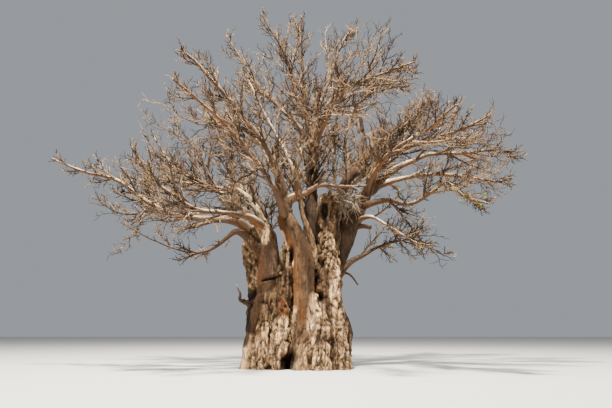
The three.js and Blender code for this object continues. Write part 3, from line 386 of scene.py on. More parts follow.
# Branches that leave the limbs inside the crown: radius at the root, and path
FORKS = (
    (0.075, ((-4.5, 2.15, 8.75), (-4.8, 2.05, 9.4), (-5.0, 2.1, 10.3), (-5.3, 2.2, 10.8), (-5.8, 2.4, 11.3),
             (-6.5, 2.6, 11.8), (-8.0, 3.0, 12.6))),
    (0.07, ((-4.4, 2.1, 8.7), (-4.6, 1.7, 9.4), (-4.6, 1.6, 10.2), (-4.4, 1.7, 11.2), (-4.2, 1.9, 11.9),
            (-4.4, 2.2, 13.0), (-4.8, 2.4, 14.0))),
    (0.06, ((-3.5, 2.6, 10.3), (-3.3, 2.5, 10.6), (-3.0, 2.3, 10.7), (-2.5, 2.0, 11.0), (-2.1, 1.6, 11.5))),
    (0.075, ((-1.4, -2.55, 9.45), (-2.2, -2.1, 9.95), (-2.9, -1.8, 10.4), (-3.9, -1.6, 10.8), (-4.9, -1.4, 11.0),
             (-6.3, -1.1, 11.9))),
    (0.05, ((-1.0, -2.3, 8.85), (-1.6, -1.7, 8.8), (-2.2, -1.4, 8.5), (-2.8, -1.1, 8.3), (-3.2, -0.8, 8.1))),
    (0.055, ((1.6, -1.35, 7.98), (1.72, -1.4, 8.4), (1.6, -1.4, 9.2), (1.6, -1.3, 9.9), (1.4, -1.2, 10.8),
             (1.3, -1.0, 11.8))),
    (0.045, ((1.6, -1.3, 9.9), (1.68, -1.35, 10.3), (1.8, -1.5, 10.9), (1.8, -1.6, 11.8))),
    (0.055, ((2.1, -1.25, 7.99), (2.2, -1.3, 8.5), (2.1, -1.4, 9.3), (2.1, -1.6, 10.2), (2.5, -1.9, 11.1),
             (2.9, -2.2, 12.1))),
    (0.07, ((0.7, 0.05, 11.2), (0.9, 0.1, 11.7), (1.7, 0.3, 12.2), (2.9, 0.7, 12.4), (4.0, 1.0, 12.9))),
    (0.08, ((3.6, 0.2, 8.6), (3.5, -0.2, 9.3), (4.0, -0.9, 9.8), (4.6, -1.6, 10.2), (5.2, -2.2, 10.7))),
    (0.06, ((-5.9, -1.8, 6.7), (-6.3, -1.75, 6.75), (-6.9, -1.8, 6.65), (-7.6, -1.9, 6.6), (-8.2, -2.0, 6.8),
            (-8.7, -2.0, 7.2))),
    (0.035, ((-6.7, -1.8, 6.7), (-6.8, -1.95, 6.4), (-6.9, -2.1, 6.0), (-7.2, -2.2, 5.5), (-7.5, -2.3, 4.9))),
    (0.05, ((4.1, -1.3, 7.3), (4.35, -1.5, 7.0), (4.6, -1.7, 6.6), (4.9, -2.0, 6.0), (5.4, -2.3, 5.3),
            (6.1, -2.6, 4.7))),
    (0.07, ((-3.7, 0.65, 8.3), (-4.2, 0.3, 8.4), (-4.9, 0.0, 8.6), (-5.6, -0.3, 8.9), (-6.4, -0.6, 9.4),
            (-7.0, -0.9, 10.1))),
)

SNAGS = {
    "snag_left": Bough(0.12, 0.02, 1.0, 0.0, ((-1.95, -0.72, 2.7), (-2.55, -0.8, 2.92), (-2.56, -0.8, 3.2),
                                              (-2.74, -0.8, 3.6))),
    "snag_right": Bough(0.09, 0.03, 1.0, 0.0, ((1.66, -0.38, 4.0), (2.12, -0.35, 4.16), (2.4, -0.35, 4.05),
                                               (2.7, -0.4, 3.6))),
}
SNAG_DARK = {"snag_left": 0.2, "snag_right": 0.7}

TANGLES = {
    "tangle_right": Tangle((2.1, -0.62, 7.55), (0.95, 0.42, 0.46), 440, 0.95, -0.3, 71),
    "tangle_left": Tangle((-3.0, -0.25, 7.55), (0.8, 0.42, 0.36), 380, 0.65, -0.15, 83),
}

# ---------------------------------------------------------------- paths, dice and distances


def unit(vectors: Array) -> Array:
    """Each row of vectors, made one long."""
    return vectors / np.maximum(np.linalg.norm(vectors, axis=-1, keepdims=True), 1e-9)


def side_of(along: Array) -> Array:
    """A level direction square to each row of along, or one square to +X where along stands upright."""
    helper = np.where(np.abs(along[..., 2:3]) < 0.9, UP, np.array([1.0, 0.0, 0.0]))
    return unit(np.cross(along, helper))


def times(a: int, b: int) -> int:
    """The low 32 bits of a product."""
    return (a * b) & WORD


def dice(seed: int) -> Iterator[float]:
    """Seeded numbers from 0 to 1, the same row that the solids use.

    Args:
        seed: any whole number.

    Returns:
        An endless row of numbers.
    """
    state = seed & WORD
    while True:
        state = (state + 0x6D2B79F5) & WORD
        mixed = times(state ^ (state >> 15), state | 1)
        mixed ^= (mixed + times(mixed ^ (mixed >> 7), mixed | 61)) & WORD
        yield ((mixed ^ (mixed >> 14)) & WORD) / 4294967296


def rolled(roll: Iterator[float], span: tuple[float, float]) -> float:
    """A number from the dice: the least, and a share of what may be added."""
    return span[0] + span[1] * next(roll)


def child_seed(seed: int, index: int) -> int:
    """The seed of a limb's or a shoot's child."""
    return (times(seed, 31) + (index + 1) * 7919) & WORD


def noise(points: Array, seed: int) -> Array:
    """Smooth seeded noise from -1 to 1, with cells one unit wide.

    Args:
        points: rows of x, y, z.
        seed: chooses the pattern.

    Returns:
        One number for each row.
    """
    cell = np.floor(points).astype(np.int64)
    part = points - cell
    fade = part * part * (3.0 - 2.0 * part)
    total = np.zeros(len(points))
    for corner in range(8):
        step = np.array([corner & 1, (corner >> 1) & 1, corner >> 2])
        spot = (cell + step) & WORD
        mixed = (spot[:, 0] * 374761393 + spot[:, 1] * 668265263 + spot[:, 2] * 2147483647 + seed * 1274126177) & WORD
        mixed = ((mixed ^ (mixed >> 13)) * 1103515245) & WORD
        mixed = ((mixed ^ (mixed >> 16)) * 374761393) & WORD
        weight = np.prod(np.where(step == 1, fade, 1.0 - fade), axis=1)
        total += weight * (((mixed >> 8) & 0xFFFF) / 32767.5 - 1.0)
    return total


def veined(points: Array, across: float, up: float, seed: int) -> Array:
    """Noise drawn out up the trunk, from how close its cells lie across and up."""
    return noise(points * np.array([across, across, up]), seed)


def drift(points: Array, seed: int) -> Array:
    """Noise in three directions, a row for each point."""
    return np.stack([noise(points, seed + k) for k in range(3)], axis=1)


def around(turns: Array, runs: Array, across: float, along: float, start: float) -> Array:
    """Places for the noise on a limb's skin, from how close they lie round it and along it."""
    return np.stack([np.cos(turns) * across, np.sin(turns) * across, runs * along + start], axis=1)


def run_of(line: Array) -> Array:
    """The distance along a line at each of its points."""
    return np.concatenate([[0.0], np.cumsum(np.linalg.norm(np.diff(line, axis=0), axis=1))])


def cracks(points: Array, seed: int, width: float) -> Array:
    """Thin winding lines, one on the line and nought off it, where noise passes through nought."""
    return np.exp(-((noise(points, seed) / width) ** 2))


def ease(low: float, high: float, values: Array) -> Array:
    """A soft step from nought at low to one at high."""
    share = np.clip((values - low) / (high - low), 0.0, 1.0)
    return share * share * (3.0 - 2.0 * share)


class SmoothPath:
    """A smooth open line through a few points, as the solids draw it."""

    def __init__(self, points: Iterable[Iterable[float]]) -> None:
        """Keeps the points with one more at each end."""
        rows = np.array([list(p) for p in points], float)
        self.spans = len(rows) - 1
        self.rows = np.vstack([2 * rows[0] - rows[1], rows, 2 * rows[-1] - rows[-2]])

    def at(self, t: Array) -> Array:
        """The places at the shares t of the path."""
        spot = np.clip(np.atleast_1d(np.asarray(t, float)), 0.0, 1.0) * self.spans
        i = np.minimum(spot.astype(int), self.spans - 1)
        f = (spot - i)[:, None]
        a, b, c, d = (self.rows[i + k] for k in range(4))
        start, end = (c - a) / 2, (d - b) / 2
        return (2 * b - 2 * c + start + end) * f**3 + (3 * c - 3 * b - 2 * start - end) * f**2 + start * f + b

    def along(self, t: Array) -> Array:
        """The directions at the shares t of the path."""
        t = np.atleast_1d(np.asarray(t, float))
        return unit(self.at(t + 0.002) - self.at(t - 0.002))


@dataclass
class Capsules:
    """Tapered capsules that stand for limbs in the tests for room."""

    start: Array
    end: Array
    start_radius: Array
    end_radius: Array

    @classmethod
    def along(cls, path: SmoothPath, first: float, last: float, pieces: int,
              radius_at: Callable[[Array], Array]) -> "Capsules":
        """Capsules end to end along part of a path.

        Args:
            path: the line that they follow.
            first: the share of the path where they start.
            last: the share where they end.
            pieces: how many there are.
            radius_at: the radius at a share of the path.

        Returns:
            The capsules.
        """
        t = np.linspace(first, last, pieces + 1)
        places, radii = path.at(t), radius_at(t)
        return cls(places[:-1], places[1:], radii[:-1], radii[1:])

    @classmethod
    def join(cls, many: Iterable["Capsules"]) -> "Capsules":
        """Several sets as one."""
        many = list(many)
        return cls(*(np.concatenate([getattr(c, name) for c in many])
                     for name in ("start", "end", "start_radius", "end_radius")))

    def distances(self, points: Array) -> Array:
        """How far each point is from each capsule's skin, below nought inside.

        Args:
            points: rows of x, y, z.

        Returns:
            A row for each point and a column for each capsule.
        """
        axis = self.end - self.start
        size = np.maximum((axis**2).sum(1), 1e-9)
        dot = points @ axis.T - (self.start * axis).sum(1)
        away = (points**2).sum(1)[:, None] - 2 * points @ self.start.T + (self.start**2).sum(1)
        share = np.clip(dot / size, 0.0, 1.0)
        gap = np.sqrt(np.maximum(away - 2 * share * dot + share**2 * size, 0.0))
        return gap - (self.start_radius + (self.end_radius - self.start_radius) * share)

    def nearest(self, points: Array) -> Array:
        """The distance from each point to the nearest skin, worked out in lots."""
        lots = [self.distances(points[i:i + 4000]).min(1) for i in range(0, len(points), 4000)]
        return np.concatenate(lots) if lots else np.zeros(0)


# ---------------------------------------------------------------- meshes


@dataclass
class Tube:
    """Rings square to a line, carried on from ring to ring without a twist."""

    centres: Array
    radii: Array

    def frames(self) -> tuple[Array, Array, Array]:
        """The directions along, across and square to both at each ring."""
        along = unit(np.gradient(self.centres, axis=0))
        across = np.empty_like(along)
        turn = side_of(along[0])
        for i, heading in enumerate(along):
            turn = unit(turn - heading * float(turn @ heading))
            across[i] = turn
        return along, across, np.cross(along, across)

    def skin(self, sides: int,
             swell: Callable[[Array, Array, Array], Array] | None = None) -> tuple[Array, list, Array]:
        """A closed skin over the rings.

        Args:
            sides: corners in a ring.
            swell: gives how far each corner moves out, from its place, angle and distance along.

        Returns:
            The corners, the faces, and each corner's place in the grain: across, square and along.
        """
        _, across, other = self.frames()
        count = len(self.centres)
        turn = 2 * math.pi * np.arange(sides) / sides
        out = across[:, None] * np.cos(turn)[None, :, None] + other[:, None] * np.sin(turn)[None, :, None]
        run = run_of(self.centres)
        corners = (self.centres[:, None] + out * self.radii[:, None, None]).reshape(-1, 3)
        turns, runs = np.tile(turn, count), np.repeat(run, sides)
        if swell is not None:
            corners = corners + out.reshape(-1, 3) * swell(corners, turns, runs)[:, None]
        wide = np.repeat(self.radii, sides)
        grain = np.stack([np.cos(turns) * wide, np.sin(turns) * wide, runs], axis=1)
        k = np.arange(sides)
        step = (k + 1) % sides
        rows = (np.arange(count - 1) * sides)[:, None]
        quads = np.stack([rows + k, rows + step, rows + step + sides, rows + k + sides], axis=2).reshape(-1, 4)
        low, high = count * sides, count * sides + 1
        last = (count - 1) * sides
        faces = quads.tolist() + [[low, int(b), int(a)] for a, b in zip(k, step)]
        faces += [[high, last + int(a), last + int(b)] for a, b in zip(k, step)]
        corners = np.vstack([corners, self.centres[:1], self.centres[-1:]])
        grain = np.vstack([grain, [[0.0, 0.0, run[0]]], [[0.0, 0.0, run[-1]]]])
        return corners, faces, grain


def new_object(name: str, mesh: bpy.types.Mesh) -> bpy.types.Object:
    """An object of a mesh, in the scene and at the origin."""
    made = bpy.data.objects.new(name, mesh)
    bpy.context.scene.collection.objects.link(made)
    return made


def mesh_of(name: str, parts: list[tuple[Array, list]]) -> bpy.types.Mesh:
    """One mesh of several skins.

    Args:
        name: what the mesh is called.
        parts: corners and faces of each skin.

    Returns:
        The mesh.
    """
    corners, faces, base = [], [], 0
    for places, loops in parts:
        corners.append(places)
        faces += [[base + i for i in loop] for loop in loops]
        base += len(places)
    mesh = bpy.data.meshes.new(name)
    mesh.from_pydata(np.vstack(corners).tolist(), [], faces)
    mesh.update()
    return mesh


def finished(piece: bpy.types.Object) -> bpy.types.Object:
    """The object with what its modifiers make as its own plain mesh, and no modifiers left."""
    view = bpy.context.evaluated_depsgraph_get()
    view.update()
    made = bpy.data.meshes.new_from_object(piece.evaluated_get(view), preserve_all_data_layers=True, depsgraph=view)
    rough = piece.data
    piece.modifiers.clear()
    piece.data = made
    bpy.data.meshes.remove(rough)
    return piece


def read(values: bpy.types.bpy_prop_collection, name: str, width: int) -> Array:
    """A collection's values as an array of rows."""
    flat = np.empty(len(values) * width)
    values.foreach_get(name, flat)
    return flat.reshape(-1, width)


def paint(mesh: bpy.types.Mesh, marks: dict[str, Array]) -> None:
    """Writes one number or vector for each corner into the mesh's attributes."""
    for name, values in marks.items():
        kind, key = ("FLOAT", "value") if values.ndim == 1 else ("FLOAT_VECTOR", "vector")
        mesh.attributes.new(name, kind, "POINT").data.foreach_set(key, np.ascontiguousarray(values, np.float32).ravel())


def smooth_shade(mesh: bpy.types.Mesh) -> None:
    """Shades every face smoothly."""
    mesh.polygons.foreach_set("use_smooth", np.ones(len(mesh.polygons), bool))


# ---------------------------------------------------------------- node trees


Value = bpy.types.NodeSocket | float | bool | str | tuple | bpy.types.Material


class Wiring:
    """Short ways to add and join the nodes of one tree."""

    def __init__(self, tree: bpy.types.NodeTree) -> None:
        """Keeps the tree."""
        self.tree = tree

    def add(self, kind: str, inputs: dict[str | int, Value] | None = None,
            **settings: str | bpy.types.NodeTree) -> bpy.types.Node:
        """A new node.

        Args:
            kind: its type.
            inputs: what is joined or written to its inputs, by name or number.
            settings: its other settings.

        Returns:
            The node.
        """
        node = self.tree.nodes.new(kind)
        for name, value in settings.items():
            setattr(node, name, value)
        for key, value in (inputs or {}).items():
            self.put(value, node.inputs[key])
        return node

    def link(self, source: bpy.types.NodeSocket, target: bpy.types.NodeSocket) -> None:
        """Joins two sockets."""
        self.tree.links.new(source, target)

    def put(self, value: Value, target: bpy.types.NodeSocket) -> None:
        """Joins a socket, or writes a plain value."""
        if isinstance(value, bpy.types.NodeSocket):
            self.link(value, target)
        else:
            target.default_value = value

    def math(self, operation: str, *values: bpy.types.NodeSocket | float) -> bpy.types.NodeSocket:
        """The result of a maths node."""
        return self.add("ShaderNodeMath", dict(enumerate(values)), operation=operation).outputs["Value"]

    def noise(self, place: bpy.types.NodeSocket, scale: float, detail: float, rough: float) -> bpy.types.NodeSocket:
        """Noise at a place, from nought to one."""
        return self.add("ShaderNodeTexNoise", {"Vector": place, "Scale": scale, "Detail": detail,
                                               "Roughness": rough}).outputs["Fac"]

    def ramp(self, value: bpy.types.NodeSocket, low: float, high: float, start: float = 0.0,
             end: float = 1.0) -> bpy.types.NodeSocket:
        """A value mapped softly from start and end to low and high."""
        ends = {"Value": value, "From Min": start, "From Max": end, "To Min": low, "To Max": high}
        return self.add("ShaderNodeMapRange", ends, interpolation_type="SMOOTHSTEP").outputs["Result"]

    def mark(self, name: str, output: str = "Fac") -> bpy.types.NodeSocket:
        """One of the mesh's own attributes, in a material."""
        return self.add("ShaderNodeAttribute", attribute_name=name).outputs[output]

    def named(self, kind: str, name: str) -> bpy.types.NodeSocket:
        """One of a geometry's attributes, in Geometry Nodes."""
        node = self.add("GeometryNodeInputNamedAttribute", {"Name": name}, data_type=kind)
        return next(s for s in node.outputs if s.enabled and s.name == "Attribute")

    def mix(self, share: bpy.types.NodeSocket | float, first: bpy.types.NodeSocket | tuple,
            second: bpy.types.NodeSocket | tuple) -> bpy.types.NodeSocket:
        """Two colours mixed."""
        first, second = ((*value, 1.0) if isinstance(value, tuple) else value for value in (first, second))
        return self.add("ShaderNodeMix", {0: share, 6: first, 7: second}, data_type="RGBA").outputs[2]

    def bark(self, pattern: bpy.types.NodeTree, place: bpy.types.NodeSocket, scale: float, stretch: float,
             width: float) -> bpy.types.Node:
        """The bark_pattern group at a place."""
        return self.add("ShaderNodeGroup", {"Place": place, "Scale": scale, "Stretch": stretch, "Crack width": width},
                        node_tree=pattern)

    def bump(self, height: bpy.types.NodeSocket, strength: float, distance: float, shader: bpy.types.Node) -> None:
        """Gives a shader a height as its bumps."""
        bump = self.add("ShaderNodeBump", {"Strength": strength, "Distance": distance, "Height": height})
        self.link(bump.outputs["Normal"], shader.inputs["Normal"])


# ---------------------------------------------------------------- limbs


def share_radii(rows: tuple[Row, ...]) -> Callable[[Array], Array]:
    """The radius at a share of a column, from the last number of its rows."""
    radii = SmoothPath([(row[3], 0.0, 0.0) for row in rows])
    return lambda t: np.maximum(radii.at(t)[:, 0], 0.01)


class Frame:
    """The trunk's columns and every limb's line, as the solids have them."""

    def __init__(self) -> None:
        """Draws the columns, then the limbs that leave them."""
        columns = {"core": Column(CORE, Skin.CRACKED, Skin.CRACKED, 2.0, 40)} | RIBS
        columns |= {f"back_rib_{i}": self.back_rib(*row) for i, row in enumerate(BACK_RIBS)}
        self.columns: dict[str, Column] = columns | STEMS
        self.lines = {name: (SmoothPath([row[:3] for row in c.rows]), share_radii(c.rows))
                      for name, c in self.columns.items()}
        self.trunk = {name: Capsules.along(*line[:1], 0.0, 1.0, LEVELS_PER_COLUMN, line[1])
                      for name, line in self.lines.items()}
        whole = Capsules.join(self.trunk.values())
        self.limbs = {name: Limb(name, bough, 1009 * (i + 1), whole) for i, (name, bough) in enumerate(BOUGHS.items())}
        self.snags = {name: Limb(name, bough, 1009 * (i + 1), whole) for i, (name, bough) in enumerate(SNAGS.items())}
        solids = [Capsules.along(limb.path, 0.0, limb.bough.split, 8, limb.radius_at)
                  for limb in (*self.limbs.values(), *self.snags.values())]
        self.solid = Capsules.join([whole, *solids])

    @staticmethod
    def back_rib(degrees: float, foot: float, top: float) -> Column:
        """One rib at the back, from its angle, foot radius and height."""
        angle = math.radians(degrees)

        def level(share: float, z: float, radius: float) -> Row:
            """One row of the rib."""
            reach = BACK_RIB_REACH * (1 + (BACK_RIB_LEAN_IN - 1) * share)
            return (reach * math.cos(angle), reach * math.sin(angle), z, radius)

        rows = (level(0, -0.4, foot), level(0.3, top * 0.35, foot * 0.75), level(0.6, top * 0.7, foot * 0.68),
                level(1, top, foot * 0.4))
        return Column(rows, Skin.CRACKED, Skin.CRACKED, 2.0)


class Limb:
    """One limb, from inside its stem to its last twig."""

    SAMPLES = 160
    SWAY = 0.045
    FULLER = 1.2
    SLOW_TAPER = 1.5

    def __init__(self, name: str, bough: Bough, seed: int, trunk: Capsules) -> None:
        """Draws the limb's line and finds where it leaves the trunk."""
        self.name, self.bough, self.seed = name, bough, seed
        self.path = SmoothPath(bough.path)
        self.leave = COLLAR_STEP
        while self.leave < COLLAR_LAST:
            here = np.array([self.leave])
            if trunk.nearest(self.path.at(here))[0] >= self.radius_at(here)[0] + COLLAR_CLEAR:
                break
            self.leave += COLLAR_STEP
        self.shares = np.linspace(0.0, 1.0, self.SAMPLES)
        self.line = self.swaying()

    def radius_at(self, t: Array) -> Array:
        """The radius of the solid bough at the shares t."""
        share = np.minimum(np.atleast_1d(t) / self.bough.split, 1.0)
        flare = 1 + BOUGH_FLARE * np.exp(-share * BOUGH_FLARE_FADE)
        return (self.bough.root + (self.bough.tip - self.bough.root) * share) * flare

    def stem_radius(self, t: Array) -> Array:
        """The radius on through the mass, where the bough has ended."""
        share = np.clip((np.atleast_1d(t) - self.bough.split) / (1 - self.bough.split + 1e-9), 0.0, 1.0)
        return self.bough.tip + (STEM_TIP_RADIUS - self.bough.tip) * share ** self.SLOW_TAPER

    def thickness(self) -> Array:
        """The radius at each sample, over bough and mass, with the bark that the solid leaves out."""
        if self.bough.split >= 1:
            return self.radius_at(self.shares)
        slender = (1 - self.bough.shoots / SHOOTS) * ease(self.bough.split, self.bough.split + 0.3, self.shares)
        beyond = self.stem_radius(self.shares) * (1 - slender)
        return self.FULLER * np.where(self.shares < self.bough.split, self.radius_at(self.shares), beyond)

    def swaying(self) -> Array:
        """The limb's line with the small bends of grown wood, still where it meets the trunk."""
        line = self.path.at(self.shares)
        run = run_of(line)
        free = ease(0.0, 1.2, run - run[int(self.leave * (self.SAMPLES - 1))])
        spot = np.stack([run * 0.9, np.full_like(run, self.seed * 0.37), np.zeros_like(run)], axis=1)
        sway = drift(spot, 0) + 0.35 * drift(spot * np.array([2.7, 1.0, 1.0]), 7)
        return line + sway * (self.SWAY * free)[:, None]


# ---------------------------------------------------------------- twigs


@dataclass(frozen=True)
class Generation:
    """How one generation of twigs leaves the one before it."""

    children: int
    first: float
    last: float
    lean: tuple[float, float]
    length: tuple[float, float]
    fade: float
    least: float
    longest: float
    radius_share: float
    least_radius: float
    taper: float
    samples: int
    lift: float = LIFT


@dataclass
class Growth:
    """Twigs of one generation: sampled lines, radii, the mass that each is in, and its tone."""

    points: Array
    radii: Array
    mass: Array
    tone: Array

    def place(self, row: Array, share: Array) -> tuple[Array, Array, Array]:
        """Where a share of a line is.

        Args:
            row: the lines.
            share: how far along each.

        Returns:
            The places, the directions there and the radii.
        """
        last = self.points.shape[1] - 1
        spot = np.clip(share, 0.0, 1.0) * last
        i = np.minimum(spot.astype(int), last - 1)
        f = spot - i
        a, b = self.points[row, i], self.points[row, i + 1]
        return a + (b - a) * f[:, None], unit(b - a), self.radii[row, i] * (1 - f) + self.radii[row, i + 1] * f

    def lengths(self) -> Array:
        """The length of each line."""
        return np.linalg.norm(np.diff(self.points, axis=1), axis=2).sum(1)

    @classmethod
    def join(cls, many: Iterable["Growth"]) -> "Growth":
        """Several growths with the same count of samples, as one."""
        many = list(many)
        return cls(*(np.concatenate([getattr(g, name) for g in many]) for name in ("points", "radii", "mass", "tone")))


class Room:
    """The space that each mass of twigs keeps to."""

    OUTSIDE = 0.12
    FINE_MARGIN = -0.7
    SOURCE_MARGIN = 0.07
    ANYWHERE = -99.0

    def __init__(self, tree: Frame) -> None:
        """Takes the limbs, the tangles and the stem of every mass."""
        balls = [Capsules(np.array([t.at]), np.array([t.at]) + 0.01, *(np.array([max(t.half)]),) * 2)
                 for t in TANGLES.values()]
        self.solid = Capsules.join([tree.solid, *balls])
        axes = [Capsules.along(limb.path, limb.bough.split, 1.0, 6, lambda t: np.zeros(len(t)))
                for limb in tree.limbs.values()]
        self.axes = Capsules.join(axes)
        self.masses = len(axes)
        self.low = np.array(CAD_BOX[0]) - self.OUTSIDE
        self.high = np.array(CAD_BOX[1]) + self.OUTSIDE

    def owner(self, points: Array) -> Array:
        """The mass whose stem is nearest to each place."""
        return self.axes.distances(points).reshape(len(points), self.masses, -1).min(2).argmin(1)

    def clear(self, points: Array, radius: Array, mass: Array, margin: float) -> Array:
        """Whether each twig keeps to its mass's space and clear of the limbs.

        Args:
            points: a few places along each twig.
            radius: each twig's radius.
            mass: the number of each twig's mass.
            margin: how much nearer it must be to its own stem than to the next.

        Returns:
            True for each twig that does.
        """
        count, samples = points.shape[:2]
        verdict = np.empty(count, bool)
        for i in range(0, count, 1500):
            part = slice(i, min(i + 1500, count))
            flat = points[part].reshape(-1, 3)
            owner = np.repeat(mass[part], samples)
            good = (flat[:, 2] >= LOWEST_TWIG) & (flat >= self.low).all(1) & (flat <= self.high).all(1)
            to_axes = self.axes.distances(flat).reshape(len(flat), self.masses, -1).min(2)
            own = to_axes[np.arange(len(flat)), owner].copy()
            to_axes[np.arange(len(flat)), owner] = np.inf
            good &= to_axes.min(1) >= own + margin
            good &= self.solid.distances(flat).min(1) > np.repeat(radius[part], samples) + LIMB_CLEAR
            verdict[part] = good.reshape(-1, samples).all(1)
        return verdict


def bent_line(origin: Array, heading: Array, second: Array, length: Array, shares: Array) -> Array:
    """Lines that leave an origin, and turn half way along.

    Args:
        origin: where each line starts.
        heading: its first direction.
        second: its direction after the bend.
        length: how long it is.
        shares: the shares of the line to place.

    Returns:
        The places, one row of them for each line.
    """
    bend = origin + heading * length[:, None] / 2
    corners = np.stack([origin, bend, bend + second * length[:, None] / 2])
    weights = np.stack([SmoothPath([(float(k == j), 0, 0) for j in range(3)]).at(shares)[:, 0] for k in range(3)],
                       axis=1)
    return np.einsum("sk,knd->nsd", weights, corners)


class Crown:
    """Every twig of the tree, generation by generation."""

    BOUGH_SHOOTS = 6
    CLEAN_SHOOTS = 2
    BOUGH_SHOOT_SHARE = 0.8
    MORE_SHOOTS = 5
    FULL_SHOOTS = 11
    STEM_SHOOT_SEED = 5003
    STEM_SHOOT_RADIUS = 0.3
    STEM_SHOOT_LEAN = (0.5, 0.45)
    STEM_SHOOT_LENGTH = (0.55, 0.45)
    STEM_SHOOT_TAKEN = 0.7
    LIMB_SHARE = 0.75
    FORK_SWAY = 0.12
    FORK_TAPER = 0.65
    SHOOT_SAMPLES = 9
    WIGGLE = 0.03
    MANY = 5000
    ON_STEMS = Generation(14, 0.34, 1.0, (0.5, 1.0), (0.045, 0.09), 0.4, 0.15, 0.9, 0.4, 0.019, 0.6, 7, 0.15)
    ON_FORKS = Generation(7, 0.22, 1.0, (0.45, 0.9), (0.2, 0.34), 0.3, 0.4, 1.7, 0.5, 0.026, 0.6, SHOOT_SAMPLES, 0.2)
    GENERATIONS = (
        Generation(9, 0.1, 1.0, (0.45, 0.85), (0.3, 0.55), 0.35, 0.18, 1.4, 0.62, 0.021, 0.55, 7, 0.14),
        Generation(4, 0.12, 1.0, (0.5, 0.95), (0.26, 0.5), 0.15, 0.1, 0.5, 0.66, 0.014, 0.4, 3, 0.35),
    )

    def __init__(self, tree: Frame) -> None:
        """Grows the shoots, then the finer twigs on them."""
        self.tree = tree
        self.room = Room(tree)
        shoots, twigs = self.shoots()
        shoots = Growth.join([shoots, self.sprout(Growth.join(self.forks()), self.ON_FORKS, 4050)])
        stems = self.sprout(self.axes(), self.ON_STEMS, 4000)
        self.generations = [shoots]
        for i, rule in enumerate(self.GENERATIONS):
            grown = self.sprout(self.generations[-1], rule, 4100 + i)
            self.generations.append(Growth.join([twigs, stems, grown]) if i == 0 else grown)
        shoots.mass = self.homes(shoots.mass, shoots.points[:, self.SHOOT_SAMPLES // 2])

    def homes(self, mass: Array, points: Array) -> Array:
        """The mass of each twig, which for a fork's own is the one whose space it stands in."""
        return np.where(mass < 0, self.room.owner(points), mass)

    def axes(self) -> Growth:
        """The middle line of every limb."""
        limbs = list(self.tree.limbs.values())
        count = len(limbs)
        return Growth(np.stack([limb.line for limb in limbs]), np.stack([limb.thickness() for limb in limbs]),
                      np.arange(count), np.zeros(count, dtype=int))

    def shoots(self) -> tuple[Growth, Growth]:
        """The first shoots of every limb, and the twig that the source gives each of them."""
        shoots, twigs = [], []
        for mass, limb in enumerate(self.tree.limbs.values()):
            split = limb.bough.split
            axis = Growth(limb.line[None], limb.thickness()[None], np.array([mass]), np.array([0]))
            count = limb.bough.shoots
            more = round((self.FULL_SHOOTS if limb.name in FULL_BOUGHS else self.MORE_SHOOTS) * count / SHOOTS)
            bare = round((self.CLEAN_SHOOTS if limb.name in CLEAN_BOUGHS else self.BOUGH_SHOOTS) * count / SHOOTS)
            for i in range(count + more + bare):
                seed = child_seed(limb.seed, i)
                roll = dice(seed)
                share = SHOOT_FIRST + (1 - SHOOT_FIRST) * (i + 0.5) / count
                if i >= count:
                    share = (i - count + 0.9) / more
                if i >= count + more:
                    share = -self.LIMB_SHARE * (i - count - more + 0.3) / bare * split / (1 - split)
                t = split + (1 - split) * min(share, 0.999)
                turn = i * GOLDEN_TURN + TURN_JITTER * (next(roll) - 0.5)
                lean = rolled(roll, SHOOT_LEAN)
                length = limb.bough.reach * rolled(roll, SHOOT_LENGTH) * (1 - SHOOT_TAPER * abs(share))
                if share < 0:
                    length *= self.BOUGH_SHOOT_SHARE
                radius = float(limb.stem_radius(np.array([t]))[0]) * SHOOT_RADIUS_SHARE * Limb.FULLER
                tone = np.array([(i + mass) % 3])
                margin = Room.SOURCE_MARGIN if i < count else Room.FINE_MARGIN
                shoot = self.settle(axis, t, turn, lean, length, radius, roll, tone, margin, SHOOT_TAKEN)
                if shoot is None:
                    continue
                shoots.append(shoot)
                twig_roll = dice(child_seed(seed, 0))
                at = rolled(twig_roll, TWIG_AT)
                turn = TWIG_TURN * next(twig_roll)
                lean = rolled(twig_roll, TWIG_LEAN)
                length *= rolled(twig_roll, TWIG_LENGTH)
                radius = max(radius * (1 - SHOOT_TAKEN * at) * TWIG_RADIUS_SHARE, TWIG_LEAST_RADIUS)
                twig = self.settle(shoot, at, turn, lean, length, radius, twig_roll, tone, margin, TWIG_TAKEN)
                if twig is not None:
                    twigs.append(twig)
        shorter = np.linspace(0, self.SHOOT_SAMPLES - 1, self.GENERATIONS[0].samples).round().astype(int)
        for twig in twigs:
            twig.points, twig.radii = twig.points[:, shorter], twig.radii[:, shorter]
        return Growth.join([*shoots, *self.stem_shoots(), *self.forks()]), Growth.join(twigs)

    def forks(self) -> list[Growth]:
        """The branches that leave the limbs inside the crown. They run through the masses and belong to none."""
        share = np.linspace(0.0, 1.0, self.SHOOT_SAMPLES)
        grown = []
        for i, (radius, path) in enumerate(FORKS):
            line = SmoothPath(path).at(share)
            line += drift(line * 1.6, 91) * (self.FORK_SWAY * share)[:, None]
            grown.append(Growth(line[None], radius * (1 - self.FORK_TAPER * share)[None], np.array([-1]),
                                np.array([i % 3])))
        return grown

